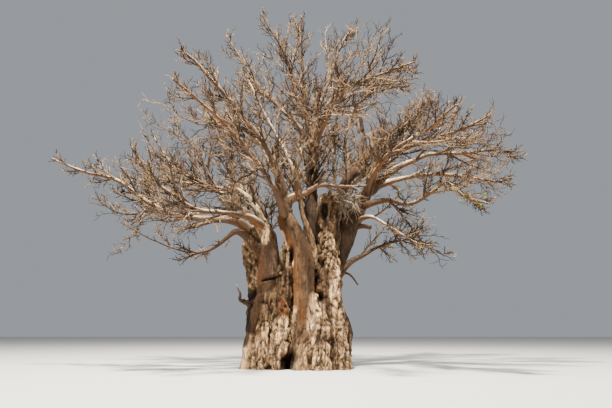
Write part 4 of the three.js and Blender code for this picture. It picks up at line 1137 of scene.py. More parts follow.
    def stem_shoots(self) -> list[Growth]:
        """The shoots that stand on the free stems, each in the space of the mass that it reaches into."""
        shoots = []
        for k, (name, (count, first, last, reach)) in enumerate(STEM_SHOOTS.items()):
            path, radius_at = self.tree.lines[name]
            shares = np.linspace(0.0, 1.0, Limb.SAMPLES)
            axis = Growth(path.at(shares)[None], radius_at(shares)[None], np.array([0]), np.array([0]))
            for i in range(count):
                roll = dice(child_seed(self.STEM_SHOOT_SEED + k, i))
                t = first + (last - first) * (i + 0.5) / count
                turn = i * GOLDEN_TURN + TURN_JITTER * (next(roll) - 0.5)
                lean = rolled(roll, self.STEM_SHOOT_LEAN)
                length = reach * rolled(roll, self.STEM_SHOOT_LENGTH)
                radius = max(float(radius_at(np.array([t]))[0]) * self.STEM_SHOOT_RADIUS, STEM_TIP_RADIUS)
                tone = np.array([i % 3])
                shoot = self.settle(axis, t, turn, lean, length, radius, roll, tone, Room.ANYWHERE,
                                    self.STEM_SHOOT_TAKEN)
                if shoot is not None:
                    shoot.mass = self.room.owner(shoot.points[:, self.SHOOT_SAMPLES // 2])
                    shoots.append(shoot)
        return shoots

    def settle(self, parent: Growth, t: float, turn: float, lean: float, length: float, radius: float,
               roll: Iterator[float], tone: Array, margin: float, taper: float) -> Growth | None:
        """One shoot by the source's rule: the longest try that keeps to its space.

        Args:
            parent: the line that it leaves.
            t: the share of that line where it does.
            turn: the angle round the line.
            lean: the angle off the line.
            length: the length of the first try.
            radius: its radius at the root.
            roll: the dice for its bend.
            tone: which of the bark tones it has.
            margin: how far it keeps off the next mass.
            taper: the share of its radius that is gone at its tip.

        Returns:
            The shoot, or nothing where no try fits.
        """
        origin, along, _ = parent.place(np.array([0]), np.array([t]))
        across = side_of(along)
        outward = across * math.cos(turn) + np.cross(along, across) * math.sin(turn)
        heading = unit(along * math.cos(lean) + outward * math.sin(lean) + UP * LIFT)
        jitter = np.array([[next(roll) - 0.5 for _ in range(3)]])
        second = unit(heading + UP * BEND_LIFT + jitter * BEND_JITTER)
        scale = 1.0
        for _ in range(SHOOT_TRIES):
            size = np.array([length * scale])
            tests = bent_line(origin, heading, second, size, np.array(SPACE_SAMPLES))
            if self.room.clear(tests, np.array([radius]), parent.mass, margin)[0]:
                share = np.linspace(0, 1, self.SHOOT_SAMPLES)
                line = bent_line(origin, heading, second, size, share)
                sway = drift(line.reshape(-1, 3) * 1.6, 11).reshape(line.shape)
                line = line + sway * (self.WIGGLE * size[0] * share)[None, :, None]
                return Growth(line, radius * (1 - taper * share)[None], parent.mass, tone)
            scale *= SHOOT_SHRINK
        return None

    def sprout(self, parents: Growth, rule: Generation, seed: int) -> Growth:
        """The next generation, by the same rule for many twigs at once.

        Args:
            parents: the twigs that they leave.
            rule: how they leave.
            seed: fixes the dice.

        Returns:
            Those that keep to their space.
        """
        rng = np.random.default_rng(seed)
        count = len(parents.mass)
        row = np.repeat(np.arange(count), rule.children)
        order = np.tile(np.arange(rule.children), count)
        total = len(row)
        share = rule.first + (rule.last - rule.first) * (order + 1 - 0.9 * rng.random(total)) / rule.children
        origin, along, thick = parents.place(row, share)
        mass = self.homes(parents.mass[row], origin)
        turn = order * GOLDEN_TURN + (rng.random(count) * 2 * math.pi)[row] + TURN_JITTER * (rng.random(total) - 0.5)
        lean = rule.lean[0] + (rule.lean[1] - rule.lean[0]) * rng.random(total)
        across = side_of(along)
        outward = across * np.cos(turn)[:, None] + np.cross(along, across) * np.sin(turn)[:, None]
        heading = unit(along * np.cos(lean)[:, None] + outward * np.sin(lean)[:, None] + UP * rule.lift)
        second = unit(heading + UP * BEND_LIFT + (rng.random((total, 3)) - 0.5) * BEND_JITTER * 1.5)
        length = parents.lengths()[row] * (rule.length[0] + (rule.length[1] - rule.length[0]) * rng.random(total))
        length = np.minimum(length * (1 - rule.fade * share), rule.longest)
        radius = np.maximum(thick * rule.radius_share, rule.least_radius)
        wiggle = rng.random((total, rule.samples, 3)) - 0.5
        waiting = np.flatnonzero(length > rule.least)
        settled, scales = [], []
        scale = 1.0
        for _ in range(SHOOT_TRIES):
            tests = bent_line(origin[waiting], heading[waiting], second[waiting], length[waiting] * scale,
                              np.array(SPACE_SAMPLES))
            good = self.room.clear(tests, radius[waiting], mass[waiting], Room.FINE_MARGIN)
            settled.append(waiting[good])
            scales.append(np.full(int(good.sum()), scale))
            waiting = waiting[~good]
            scale *= SHOOT_SHRINK
        chosen, scales = np.concatenate(settled), np.concatenate(scales)
        size = length[chosen] * scales
        along_line = np.linspace(0.0, 1.0, rule.samples)
        points = bent_line(origin[chosen], heading[chosen], second[chosen], size, along_line)
        points += wiggle[chosen] * (size[:, None] * 0.11 * (along_line > 0))[..., None]
        radii = radius[chosen][:, None] * (1 - rule.taper * along_line)[None]
        tone = parents.tone[row[chosen]] if count > self.MANY else rng.integers(0, 3, total)[chosen]
        return Growth(points, radii, mass[chosen], tone)


class TwigTree:
    """The Geometry Nodes tree that lays a skin over sampled twig lines."""

    SIDES = {"Shoot sides": 5, "Twig sides": 3}

    def __init__(self, finishes: tuple[bpy.types.Material, ...]) -> None:
        """Builds the tree once.

        Args:
            finishes: the material of each tone.
        """
        self.group = bpy.data.node_groups.new("twig_skin", "GeometryNodeTree")
        face = self.group.interface
        face.new_socket("Lines", in_out="INPUT", socket_type="NodeSocketGeometry")
        self.sides = {name: face.new_socket(name, in_out="INPUT", socket_type="NodeSocketInt") for name in self.SIDES}
        for name, socket in self.sides.items():
            socket.default_value, socket.min_value = self.SIDES[name], 3
        face.new_socket("Twigs", in_out="OUTPUT", socket_type="NodeSocketGeometry")
        make = Wiring(self.group)
        start, end = make.add("NodeGroupInput"), make.add("NodeGroupOutput")
        apart = make.add("GeometryNodeSeparateGeometry",
                         {"Geometry": start.outputs["Lines"], "Selection": make.named("BOOLEAN", "fine")})
        both = make.add("GeometryNodeJoinGeometry")
        for lines, sides in (("Inverted", "Shoot sides"), ("Selection", "Twig sides")):
            curve = make.add("GeometryNodeMeshToCurve", {"Mesh": apart.outputs[lines]})
            ring = make.add("GeometryNodeCurvePrimitiveCircle", {"Radius": 1.0, "Resolution": start.outputs[sides]})
            tube = make.add("GeometryNodeCurveToMesh",
                            {"Curve": curve.outputs["Curve"], "Profile Curve": ring.outputs["Curve"],
                             "Scale": make.named("FLOAT", "thickness"), "Fill Caps": True})
            make.link(tube.outputs["Mesh"], both.inputs["Geometry"])
        smooth = make.add("GeometryNodeSetShadeSmooth", {"Geometry": both.outputs["Geometry"]})
        last = make.add("GeometryNodeRealizeInstances", {"Geometry": smooth.outputs["Geometry"]})
        for i, finish in enumerate(finishes):
            same = make.add("FunctionNodeCompare", {"A": make.named("FLOAT", "tone"), "B": float(i), "Epsilon": 0.4},
                            data_type="FLOAT", operation="EQUAL")
            last = make.add("GeometryNodeSetMaterial", {"Geometry": last.outputs["Geometry"],
                                                        "Selection": same.outputs["Result"], "Material": finish})
        make.link(last.outputs["Geometry"], end.inputs["Twigs"])

    def skin(self, name: str, lots: list[tuple[Array, Array, Array, bool]]) -> bpy.types.Object:
        """A piece made of lines.

        Args:
            name: what the piece is called.
            lots: points, radii and tone of each lot of lines, and whether the lot is fine.

        Returns:
            The piece as a plain mesh.
        """
        places, thick, tones, fine, edges, base = [], [], [], [], [], 0
        for points, radii, tone, is_fine in lots:
            count, samples = points.shape[:2]
            index = base + np.arange(count * samples).reshape(count, samples)
            edges.append(np.stack([index[:, :-1], index[:, 1:]], axis=2).reshape(-1, 2))
            places.append(points.reshape(-1, 3))
            thick.append(radii.ravel())
            tones.append(np.repeat(tone, samples).astype(float))
            fine.append(np.full(count * samples, is_fine))
            base += count * samples
        mesh = bpy.data.meshes.new(name)
        ends = np.concatenate(edges)
        mesh.vertices.add(base)
        mesh.vertices.foreach_set("co", np.vstack(places).ravel())
        mesh.edges.add(len(ends))
        mesh.edges.foreach_set("vertices", ends.ravel())
        paint(mesh, {"thickness": np.concatenate(thick), "tone": np.concatenate(tones)})
        mesh.attributes.new("fine", "BOOLEAN", "POINT").data.foreach_set("value", np.concatenate(fine))
        piece = new_object(name, mesh)
        grow = piece.modifiers.new("grow", "NODES")
        grow.node_group = self.group
        for side, socket in self.sides.items():
            grow[socket.identifier] = self.SIDES[side]
        return finished(piece)


# ---------------------------------------------------------------- finishes


def bark_pattern() -> bpy.types.NodeTree:
    """The shader node group of grown bark: cracks, mottling and height from places in the grain.

    Returns:
        The group, with the inputs Place, Scale, Stretch and Crack width, and the outputs Crack, Mottle and Height.
    """
    group = bpy.data.node_groups.new("bark_pattern", "ShaderNodeTree")
    face = group.interface
    face.new_socket("Place", in_out="INPUT", socket_type="NodeSocketVector")
    for name, value in (("Scale", 8.0), ("Stretch", 0.3), ("Crack width", 0.06)):
        face.new_socket(name, in_out="INPUT", socket_type="NodeSocketFloat").default_value = value
    for name in ("Crack", "Mottle", "Height"):
        face.new_socket(name, in_out="OUTPUT", socket_type="NodeSocketFloat")
    make = Wiring(group)
    start, end = make.add("NodeGroupInput"), make.add("NodeGroupOutput")
    place, scale, stretch, width = (start.outputs[name] for name in ("Place", "Scale", "Stretch", "Crack width"))
    size = make.add("ShaderNodeCombineXYZ", {"X": scale, "Y": scale, "Z": make.math("MULTIPLY", scale, stretch)})
    spot = make.add("ShaderNodeVectorMath", {0: place, 1: size.outputs["Vector"]},
                    operation="MULTIPLY").outputs["Vector"]
    stray = make.add("ShaderNodeTexNoise", {"Vector": spot, "Scale": 1.6, "Detail": 3.0})
    bent = make.add("ShaderNodeVectorMath", {0: stray.outputs["Color"], 1: (0.9, 0.9, 0.9), 2: spot},
                    operation="MULTIPLY_ADD")
    plates = make.add("ShaderNodeTexVoronoi", {"Vector": bent.outputs["Vector"], "Scale": 0.8},
                      feature="DISTANCE_TO_EDGE")
    crack = make.ramp(make.math("DIVIDE", plates.outputs["Distance"], width), 1.0, 0.0)
    mottle, grit = make.noise(spot, 0.8, 6.0, 0.74), make.noise(spot, 5.0, 2.0, 0.5)
    height = make.math("SUBTRACT", make.math("MULTIPLY_ADD", grit, 0.5, mottle), crack)
    for name, value in (("Crack", crack), ("Mottle", mottle), ("Height", height)):
        make.link(value, end.inputs[name])
    return group


def new_material(name: str, roughness: float, specular: float) -> tuple[bpy.types.Material, Wiring, bpy.types.Node]:
    """A material with its own shader, ready to be wired."""
    finish = bpy.data.materials.new(name)
    finish.use_nodes = True
    shader = next(n for n in finish.node_tree.nodes if n.type == "BSDF_PRINCIPLED")
    shader.inputs["Roughness"].default_value = roughness
    shader.inputs["Specular IOR Level"].default_value = specular
    return finish, Wiring(finish.node_tree), shader


@dataclass(frozen=True)
class BarkFinish:
    """Bark: its colours, of which pale, copper and dark also paint highlight, reflected light and shade, and the size
    of its cracks.
    """

    name: str
    pale: Point
    rough: Point
    smooth: Point
    copper: Point
    dark: Point
    scale: float
    stretch: float
    crack_width: float
    bump: float

    def build(self, pattern: bpy.types.NodeTree) -> bpy.types.Material:
        """The material.

        Args:
            pattern: the bark_pattern group.

        Returns:
            A material that reads the marks rough, warm, pale, shade and grain; warm and pale carry painted reflected
            light and painted highlight as well as the bark's colour, and shade is mostly painted shade.
        """
        finish, make, shader = new_material(self.name, 0.88, 0.22)
        group = make.bark(pattern, make.mark("grain", "Vector"), self.scale, self.stretch, self.crack_width)
        mottle, crack = group.outputs["Mottle"], group.outputs["Crack"]
        patch = make.ramp(mottle, 0.0, 1.0, 0.38, 0.56)
        skin = make.mix(make.mark("rough"), self.smooth, self.rough)
        tinted = make.mix(make.math("MULTIPLY", make.mark("warm"), make.ramp(mottle, 0.55, 1.0, 0.3, 0.6)), skin,
                          self.copper)
        # pale bark together with the painted highlight of ridge tops, sunlit patches and limb tops
        pale_and_highlight = make.mix(make.math("MULTIPLY", make.mark("pale"), patch), tinted, self.pale)
        grey = make.mix(make.math("MULTIPLY", make.ramp(mottle, 0.5, 0.0, 0.3, 0.5), 0.5), pale_and_highlight, self.smooth)
        depth = make.math("MULTIPLY", crack,
                          make.math("MULTIPLY_ADD", make.math("POWER", make.mark("rough"), 2.0), 0.85, 0.05))
        # painted shade from the shade mark, joined with the dark cracks of the pattern
        shade_and_cracks = make.math("MAXIMUM", depth, make.mark("shade"))
        colour = make.mix(make.math("MINIMUM", shade_and_cracks, 0.97), grey, self.dark)
        make.link(colour, shader.inputs["Base Color"])
        make.link(make.ramp(mottle, 0.78, 0.96), shader.inputs["Roughness"])
        make.bump(group.outputs["Height"], self.bump, 0.03, shader)
        return finish


@dataclass(frozen=True)
class TwigFinish:
    """The plain bark of a twig, a dead stick or a leaf, with a faint grain."""

    name: str
    colour: Point
    darker: Point
    roughness: float = 0.85

    def build(self, pattern: bpy.types.NodeTree) -> bpy.types.Material:
        """The material, from the bark_pattern group on the object's own coordinates."""
        finish, make, shader = new_material(self.name, self.roughness, 0.25)
        group = make.bark(pattern, make.add("ShaderNodeTexCoord").outputs["Object"], 9.0, 1.0, 0.1)
        mottle = make.ramp(group.outputs["Mottle"], 0.0, 1.0, 0.35, 0.65)
        make.link(make.mix(mottle, self.darker, self.colour), shader.inputs["Base Color"])
        make.bump(group.outputs["Height"], 0.2, 0.01, shader)
        return finish


@dataclass(frozen=True)
class Finishes:
    """Every material of the tree, built once."""

    trunk: bpy.types.Material
    bough: bpy.types.Material
    twigs: tuple[bpy.types.Material, ...]
    sticks: tuple[bpy.types.Material, ...]
    leaves: tuple[bpy.types.Material, ...]

    @classmethod
    def build(cls) -> "Finishes":
        """Builds them all."""
        pattern = bark_pattern()
        # the pale, copper and dark colours of each bark also paint highlight, reflected light from the ground, and
        # shade
        trunk = BarkFinish("old_bark", (1.0, 0.66, 0.36), (0.16, 0.088, 0.042), (0.042, 0.019, 0.008),
                           (0.15, 0.053, 0.011), (0.01, 0.005, 0.003), 9.0, 0.3, 0.07, 1.0)
        bough = BarkFinish("bough_bark", (0.8, 0.6, 0.39), (0.14, 0.08, 0.044), (0.07, 0.037, 0.02),
                           (0.18, 0.068, 0.018), (0.017, 0.009, 0.006), 12.0, 0.25, 0.05, 0.7)
        # twig tones are dealt by spray; the pale ochre and the near-black brown partly stand for sunlit and shaded
        # twigs, as painted highlight and painted shade
        twigs = (TwigFinish("twig_grey", (0.11, 0.068, 0.04), (0.042, 0.025, 0.015)),
                 TwigFinish("twig_brown", (0.042, 0.023, 0.012), (0.02, 0.011, 0.006)),
                 TwigFinish("twig_ochre", (0.32, 0.21, 0.12), (0.11, 0.066, 0.035)))
        sticks = (TwigFinish("stick_bleached", (0.52, 0.44, 0.33), (0.3, 0.24, 0.17)),
                  TwigFinish("stick_brown", (0.22, 0.15, 0.1), (0.1, 0.065, 0.045)),
                  TwigFinish("stick_dark", (0.12, 0.08, 0.055), (0.06, 0.04, 0.028)))
        leaves = (TwigFinish("leaf_young", (0.33, 0.42, 0.09), (0.24, 0.33, 0.06), 0.6),
                  TwigFinish("leaf_yellow", (0.5, 0.46, 0.12), (0.36, 0.34, 0.08), 0.6))
        return cls(trunk.build(pattern), bough.build(pattern),
                   *(tuple(f.build(pattern) for f in kind) for kind in (twigs, sticks, leaves)))


# ---------------------------------------------------------------- trunk


@dataclass(frozen=True)
class Furrows:
    """A layer of rough bark: how close it lies across and up, its seed and height, and how dark its cracks are painted
    as shade, and their width.
    """

    across: float
    up: float
    seed: int
    height: float
    crack: float
    width: float

    def ridge(self, places: Array) -> Array:
        """How near each place is to the layer's ridges, nought in its furrows."""
        return np.sqrt(np.abs(veined(places, self.across, self.up, self.seed)))


class Trunk:
    """The trunk with its ribs, stems and collars, as one mesh with the bark's relief."""

    VOXEL = 0.04
    RINGS = 70
    LAYERS = (Furrows(2.5, 0.32, 31, 0.27, 1.0, 0.1), Furrows(6.4, 1.25, 32, 0.2, 0.9, 0.14),
              Furrows(12.5, 4.2, 33, 0.11, 0.7, 0.18))
    MIDDLE = 0.45
    SWELL = 0.07
    FOLD = 0.012
    CREASE = 0.06
    CREASE_WIDTH = 0.045
    BLEND = 0.05
    WAVE = 0.45
    FADE = 0.35
    WANDER = 0.28
    TOE = 0.12
    TOE_IN = 0.35
    FOOT_HEIGHT = 0.4
    PIT = 0.05
    THICK = 0.42
    SPLIT = 4.25
    BLOCK = 20.0
    RIM = 0.15
    SHARP = math.radians(80)
    NODES = ("stem_middle", "stem_right", "stem_back_right")
    THIN = ("hook_arm", "right_stub")
    THIN_DARK = 0.7
    THIN_FROM = 0.1
    THIN_LEVELS = 80
    THIN_SHARE = 0.42
    COLLAR_RINGS = 16

    def __init__(self, tree: Frame) -> None:
        """Keeps the frame that the trunk is drawn on."""
        self.tree = tree

    def blank(self) -> bpy.types.Object:
        """The columns and collars as overlapping tubes."""
        t = np.linspace(0.0, 1.0, self.RINGS)
        whole, thin = np.sqrt(1 - 0.9 * ease(0.86, 1.0, t)), np.interp(t, [0.0, 0.75, 1.0], [1.05, 1.0, 0.5])
        parts = []
        for name, (path, radius_at) in self.tree.lines.items():
            share = t * (self.THIN_SHARE if name in self.THIN else 1.0)
            radii = radius_at(share) * (thin if name in self.THIN else whole)
            parts.append(Tube(path.at(share), radii).skin(self.tree.columns[name].sides)[:2])
        for limb in (*self.tree.limbs.values(), *self.tree.snags.values()):
            share = np.linspace(0.0, min(limb.leave + 0.04, 0.5), self.COLLAR_RINGS)
            swell = np.interp(np.linspace(0, 1, self.COLLAR_RINGS), [0.0, 0.55, 1.0], [1.3, 1.08, 0.62])
            parts.append(Tube(limb.path.at(share), limb.radius_at(share) * swell).skin(self.COLLAR_RINGS)[:2])
        return new_object("bark_trunk", mesh_of("bark_trunk", parts))

    def marks(self, places: Array, normals: Array) -> dict[str, Array]:
        """Which bark each corner has.

        Args:
            places: the corners before their relief.
            normals: the way each one faces.

        Returns:
            The shares rough, warm, pale, crease and girth, one number for each corner. Warm is the copper bark kept
            only on the sides that face left and down, a painted reflection of light thrown up from the ground.
        """
        names = list(self.tree.columns)
        gaps = np.concatenate([np.stack([self.tree.trunk[n].distances(places[i:i + 6000]).min(1) for n in names],
                                        axis=1) for i in range(0, len(places), 6000)])
        weight = np.exp(-np.maximum(gaps, 0.0) / self.BLEND)
        weight /= weight.sum(1, keepdims=True)
        looks = []
        for name in names:
            column = self.tree.columns[name]
            wave = column.change + self.WAVE * veined(places, 2.5, 0.6, 5)
            high = ease(-self.FADE, self.FADE, places[:, 2] - wave)[:, None]
            looks.append(np.array(column.lower.value)[None] * (1 - high) + np.array(column.upper.value)[None] * high)
        rough, warm, pale = (sum(weight[:, i] * look[:, k] for i, look in enumerate(looks)) for k in range(3))
        rows = [np.array(self.tree.columns[name].rows) for name in names]
        girth = sum(weight[:, i] * np.interp(places[:, 2], row[:, 2], row[:, 3]) for i, row in enumerate(rows))
        two = np.partition(gaps, 1, axis=1)[:, :2]
        crease = np.exp(-np.maximum(two[:, 1] - np.maximum(two[:, 0], 0.0), 0.0) / self.CREASE_WIDTH)
        # painted reflection: the copper shows only on the sides that face left and down, as light thrown up from the
        # ground
        side = np.clip(-normals[:, 0] * 1.1 - 0.2 * normals[:, 2], 0.0, 1.0)
        return {"rough": rough, "warm": warm * side, "pale": pale, "crease": crease,
                "girth": np.clip(girth / self.THICK, 0.25, 1.0)}

    def relief(self, places: Array, marks: dict[str, Array]) -> tuple[Array, Array]:
        """How far the bark stands out, and how deep in a crack each corner lies.

        Args:
            places: the corners before their relief.
            marks: which bark each has.

        Returns:
            The distance out and the share of crack, which darkens the furrows' floors as painted shade.
        """
        rough = marks["rough"]
        wander = np.stack([veined(places, 0.8, 0.5, 21), veined(places, 0.8, 0.5, 22), np.zeros(len(places))], axis=1)
        spot = places + self.WANDER * wander
        ridges = [layer.ridge(spot) for layer in self.LAYERS]
        swell = veined(spot, 1.5, 0.7, 34) + 0.7 * np.abs(veined(spot, 3.2, 0.35, 35))
        out = rough * sum(layer.height * (ridge - self.MIDDLE) for layer, ridge in zip(self.LAYERS, ridges))
        smooth = self.SWELL * swell + self.FOLD * veined(spot, 1.6, 7.5, 37)
        out += (1 - rough) * smooth - self.CREASE * marks["crease"]
        foot = np.exp(-places[:, 2] / self.FOOT_HEIGHT)
        out += self.TOE * foot * (veined(spot, 1.7, 0.2, 38) - self.TOE_IN)
        # painted shade along the floors of the furrows
        lines = np.maximum.reduce([layer.crack * np.exp(-ridge ** 2 / layer.width)
                                   for layer, ridge in zip(self.LAYERS, ridges)])
        # pits sink the bark and are darkened as painted shade
        pits = ease(0.3, 0.55, veined(spot, 8.0, 5.0, 39)) * ease(0.6, 0.95, rough)
        out -= self.PIT * pits
        marks["pit"] = pits
        # how near each corner is to a ridge top; pale bark is made paler there as a painted highlight
        marks["ridge"] = 0.55 * ease(0.3, 0.65, ridges[0]) + 0.45 * ease(0.3, 0.62, ridges[1])
        return out * marks["girth"], lines * rough

    def build(self, finish: bpy.types.Material) -> list[bpy.types.Object]:
        """The finished trunk.

        Args:
            finish: its bark.

        Returns:
            Its lower half, cut flat at the ground, and its stems.
        """
        piece = self.blank()
        skin = piece.modifiers.new("skin", "REMESH")
        skin.mode, skin.voxel_size, skin.use_smooth_shade = "VOXEL", self.VOXEL, True
        soften = piece.modifiers.new("soften", "SMOOTH")
        soften.factor, soften.iterations = 0.5, 2
        finished(piece)
        mesh = piece.data
        places, normals = read(mesh.vertices, "co", 3), read(mesh.vertex_normals, "vector", 3)
        marks = self.marks(places, normals)
        out, lines = self.relief(places, marks)
        moved = places + normals * out[:, None]
        # painted shade: darker in the creases between columns, along the furrows and in the pits
        shade = np.maximum(np.maximum(0.7 * marks["crease"], 0.92 * lines), 0.9 * marks["pit"])
        for hollow in HOLLOWS:
            off = places - np.array(hollow.at)
            off[:, 2] -= hollow.slope * off[:, 0]
            share = ((off / np.array(hollow.half)) ** 2).sum(1)
            sink = ease(0.0, 1.0, 1.25 - share)
            moved += sink[:, None] * np.array(hollow.push)
            # painted shade inside the hollows that are pushed in
            if hollow.push[1] > 0:
                shade = np.maximum(shade, 1.2 * sink)
        mesh.vertices.foreach_set("co", moved.ravel())
        streak = veined(places, 2.9, 0.45, 41) + 0.5 * veined(places, 6.0, 1.4, 42)
        # pale bark in vertical streaks, paler on the ridge tops as a painted highlight
        marks["pale"] = marks["pale"] * ease(-0.3, 0.5, streak) * (0.3 + 0.9 * marks["ridge"])
        shade = np.maximum(shade, 0.45 * ease(0.05, 0.5, veined(places, 1.3, 0.22, 43)))
        for patch in PATCHES:
            line = Capsules.along(SmoothPath((patch.top, patch.foot)), 0.0, 1.0, 1, lambda t: np.zeros(len(t)))
            spread = 0.35 * patch.half * veined(places, 5.0, 1.6, 44)
            gap = (line.distances(places).min(1) + spread) / patch.half
            share = patch.share * ease(0.0, 0.5, 1.45 - gap)
            # CREAM paints pale bark that partly stands for painted sunlight, paler on ridges; DARK paints shadow into
            # the shade mark
            if patch.tint is Tint.CREAM:
                marks["pale"] = np.maximum(marks["pale"], share * (0.35 + 0.65 * marks["ridge"]))
            elif patch.tint is Tint.ORANGE:
                marks["warm"] = np.maximum(marks["warm"], share)
            else:
                shade = np.maximum(shade, share * (0.8 + 0.2 * lines))
        looks = {name: marks[name] for name in ("rough", "warm", "pale")}
        paint(mesh, looks | {"shade": np.clip(shade, 0.0, 1.0), "grain": places})
        mesh.materials.clear()
        mesh.materials.append(finish)
        smooth_shade(mesh)
        stems = new_object("bark_stems", mesh.copy())
        return [self.keep_between(piece, 0.0, self.SPLIT), self.keep_between(stems, self.SPLIT, self.BLOCK)]

    def keep_between(self, piece: bpy.types.Object, low: float, high: float) -> bpy.types.Object:
        """Keeps what lies between two heights, cut flat and closed.

        Args:
            piece: what to cut.
            low: the lower height.
            high: the upper height.

        Returns:
            The piece.
        """
        work = bmesh.new()
        size = Matrix.Diagonal((self.BLOCK, self.BLOCK, high - low, 1.0))
        place = Matrix.Translation((0.0, 0.0, (low + high) / 2)) @ size
        bmesh.ops.create_cube(work, size=1.0, matrix=place)
        mesh = bpy.data.meshes.new("block")
        work.to_mesh(mesh)
        work.free()
        block = new_object("block", mesh)
        whole = piece.data.copy()
        cut = piece.modifiers.new("cut", "BOOLEAN")
        cut.operation, cut.solver, cut.object = "INTERSECT", "MANIFOLD", block
        finished(piece)
        for height in (low, high):
            self.mend_rim(whole, piece.data, height)
        bpy.data.meshes.remove(whole)
        bpy.data.objects.remove(block)
        bpy.data.meshes.remove(mesh)
        piece.data.set_sharp_from_angle(angle=self.SHARP)
        return piece

    @staticmethod
    def mend_rim(whole: bpy.types.Mesh, cut: bpy.types.Mesh, height: float) -> None:
        """Gives the corners at a cut the marks that the bark has there.

        Args:
            whole: the mesh before the cut.
            cut: the mesh after it.
            height: where it was cut.
        """
        old, new = read(whole.vertices, "co", 3), read(cut.vertices, "co", 3)
        near = np.flatnonzero(np.abs(old[:, 2] - height) < Trunk.RIM)
        rim = np.flatnonzero(np.abs(new[:, 2] - height) < 1e-4)
        if len(near) < 3 or not len(rim):
            return
        tree = KDTree(len(near))
        for i, corner in enumerate(old[near]):
            tree.insert(corner, i)
        tree.balance()
        found = [tree.find_n(corner, 3) for corner in new[rim]]
        rows = near[np.array([[hit[1] for hit in hits] for hits in found])]
        weight = 1.0 / (np.array([[hit[2] for hit in hits] for hits in found]) + 1e-4) ** 2
        weight /= weight.sum(1, keepdims=True)
        for name in ("rough", "warm", "pale", "shade", "grain"):
            key, width = ("vector", 3) if name == "grain" else ("value", 1)
            before, after = read(whole.attributes[name].data, key, width), read(cut.attributes[name].data, key, width)
            after[rim] = (before[rows] * weight[:, :, None]).sum(1)
            cut.attributes[name].data.foreach_set(key, after.ravel())


# ---------------------------------------------------------------- boughs


class BoughSkin:
    """The relief mesh of one limb, a snag or a thin stem."""

    SIDES = 14
    STEP = 0.085

    def __init__(self, name: str, line: Array, radii: Array, dark: float, seed: int) -> None:
        """Takes the limb's sampled line and radii, the share of dark bark, and its seed."""
        self.name, self.dark, self.seed = name, dark, seed
        run = run_of(line)
        even = np.linspace(0.0, run[-1], max(int(run[-1] / self.STEP), 8))
        self.line = np.stack([np.interp(even, run, line[:, k]) for k in range(3)], axis=1)
        self.radii = np.interp(even, run, radii)

    def swell(self, corners: Array, turns: Array, runs: Array) -> Array:
        """The bark's relief: knots, grooves along the limb, and rings where it bends."""
        wide = np.repeat(self.radii, self.SIDES)
        knots = noise(around(turns, runs, 1.3, 1.7, self.seed) * 0.8, 51) + 0.4 * noise(corners * 5.0, 52)
        grooves = cracks(around(turns, runs, 2.4, 0.8, self.seed), 53, 0.16)
        rings = noise(around(turns, runs, 1.0, 7.0, self.seed), 54)
        return wide * (0.1 * knots - 0.09 * grooves + 0.03 * rings)

    def build(self, finish: bpy.types.Material) -> bpy.types.Object:
        """The finished piece, with its marks for the bark: painted sunlight on the faces that look up and painted
        reflected light on those that look down.

        Args:
            finish: the bark.

        Returns:
            The piece.
        """
        corners, faces, grain = Tube(self.line, self.radii).skin(self.SIDES, self.swell)
        mesh = mesh_of(self.name, [(corners, faces)])
        normals = read(mesh.vertex_normals, "vector", 3)
        spots = noise(corners * 2.2, 61)
        # painted highlight: pale where the bark faces up, as sunlight falling from above
        top = ease(0.05, 0.9, normals[:, 2] + 0.35 * spots)
        # painted reflection: copper where the bark faces down, in patches, as light thrown up from the ground
        below = ease(0.0, 0.9, -normals[:, 2] + 0.3 * spots) * ease(-0.5, 0.4, noise(corners * 0.9, 63))
        knots = ease(0.35, 0.8, noise(corners * 3.7, 62))
        marks = {"rough": 0.35 + 0.3 * spots, "warm": below * (1 - 0.7 * self.dark), "pale": top * (1 - self.dark),
                 "shade": np.clip(0.75 * self.dark + 0.25 * knots, 0.0, 1.0), "grain": grain}
        paint(mesh, marks)
        mesh.materials.append(finish)
        smooth_shade(mesh)
        return new_object(self.name, mesh)


# ---------------------------------------------------------------- tangles and leaves


class StickTangle:
    """A mass of dead sticks lodged in a fork."""

    def __init__(self, name: str, tangle: Tangle, tree: Frame) -> None:
        """Keeps the tangle and the limbs that it must clear."""
        self.name, self.tangle, self.tree = name, tangle, tree

    def lines(self) -> tuple[Array, Array, Array]:
        """The sticks: points, radii and tones."""
        tangle = self.tangle
        rng = np.random.default_rng(tangle.seed)
        count, half = tangle.sticks, np.array(tangle.half)
        outward = unit(rng.standard_normal((count, 3)))
        root = np.array(tangle.at) + outward * half * (0.25 + 0.6 * rng.random(count))[:, None]
        slant = rng.random((count, 3)) - 0.5 + np.array([0.0, 0.0, tangle.droop])
        heading = unit(unit(outward * half) * 0.5 + slant * 2.0)
        second = unit(heading + (rng.random((count, 3)) - 0.5) * 1.6 + np.array([0.0, 0.0, tangle.droop]))
        length = tangle.stick * (0.4 + 0.8 * rng.random(count) ** 2)
        points = bent_line(root, heading, second, length, np.linspace(0, 1, 5))
        points += (rng.random(points.shape) - 0.5) * np.linspace(0, 0.09, 5)[None, :, None]
        clear = self.tree.solid.distances(points[:, -1]).min(1) > 0.03
        radius = 0.007 + 0.014 * rng.random(count) ** 3
        tones = np.searchsorted([0.3, 0.7], rng.random(count))
        return points[clear], (radius[:, None] * np.linspace(1, 0.5, 5)[None])[clear], tones[clear]

    def build(self, skin: TwigTree) -> bpy.types.Object:
        """The finished tangle."""
        points, radii, tones = self.lines()
        return skin.skin(self.name, [(points, radii, tones, False)])


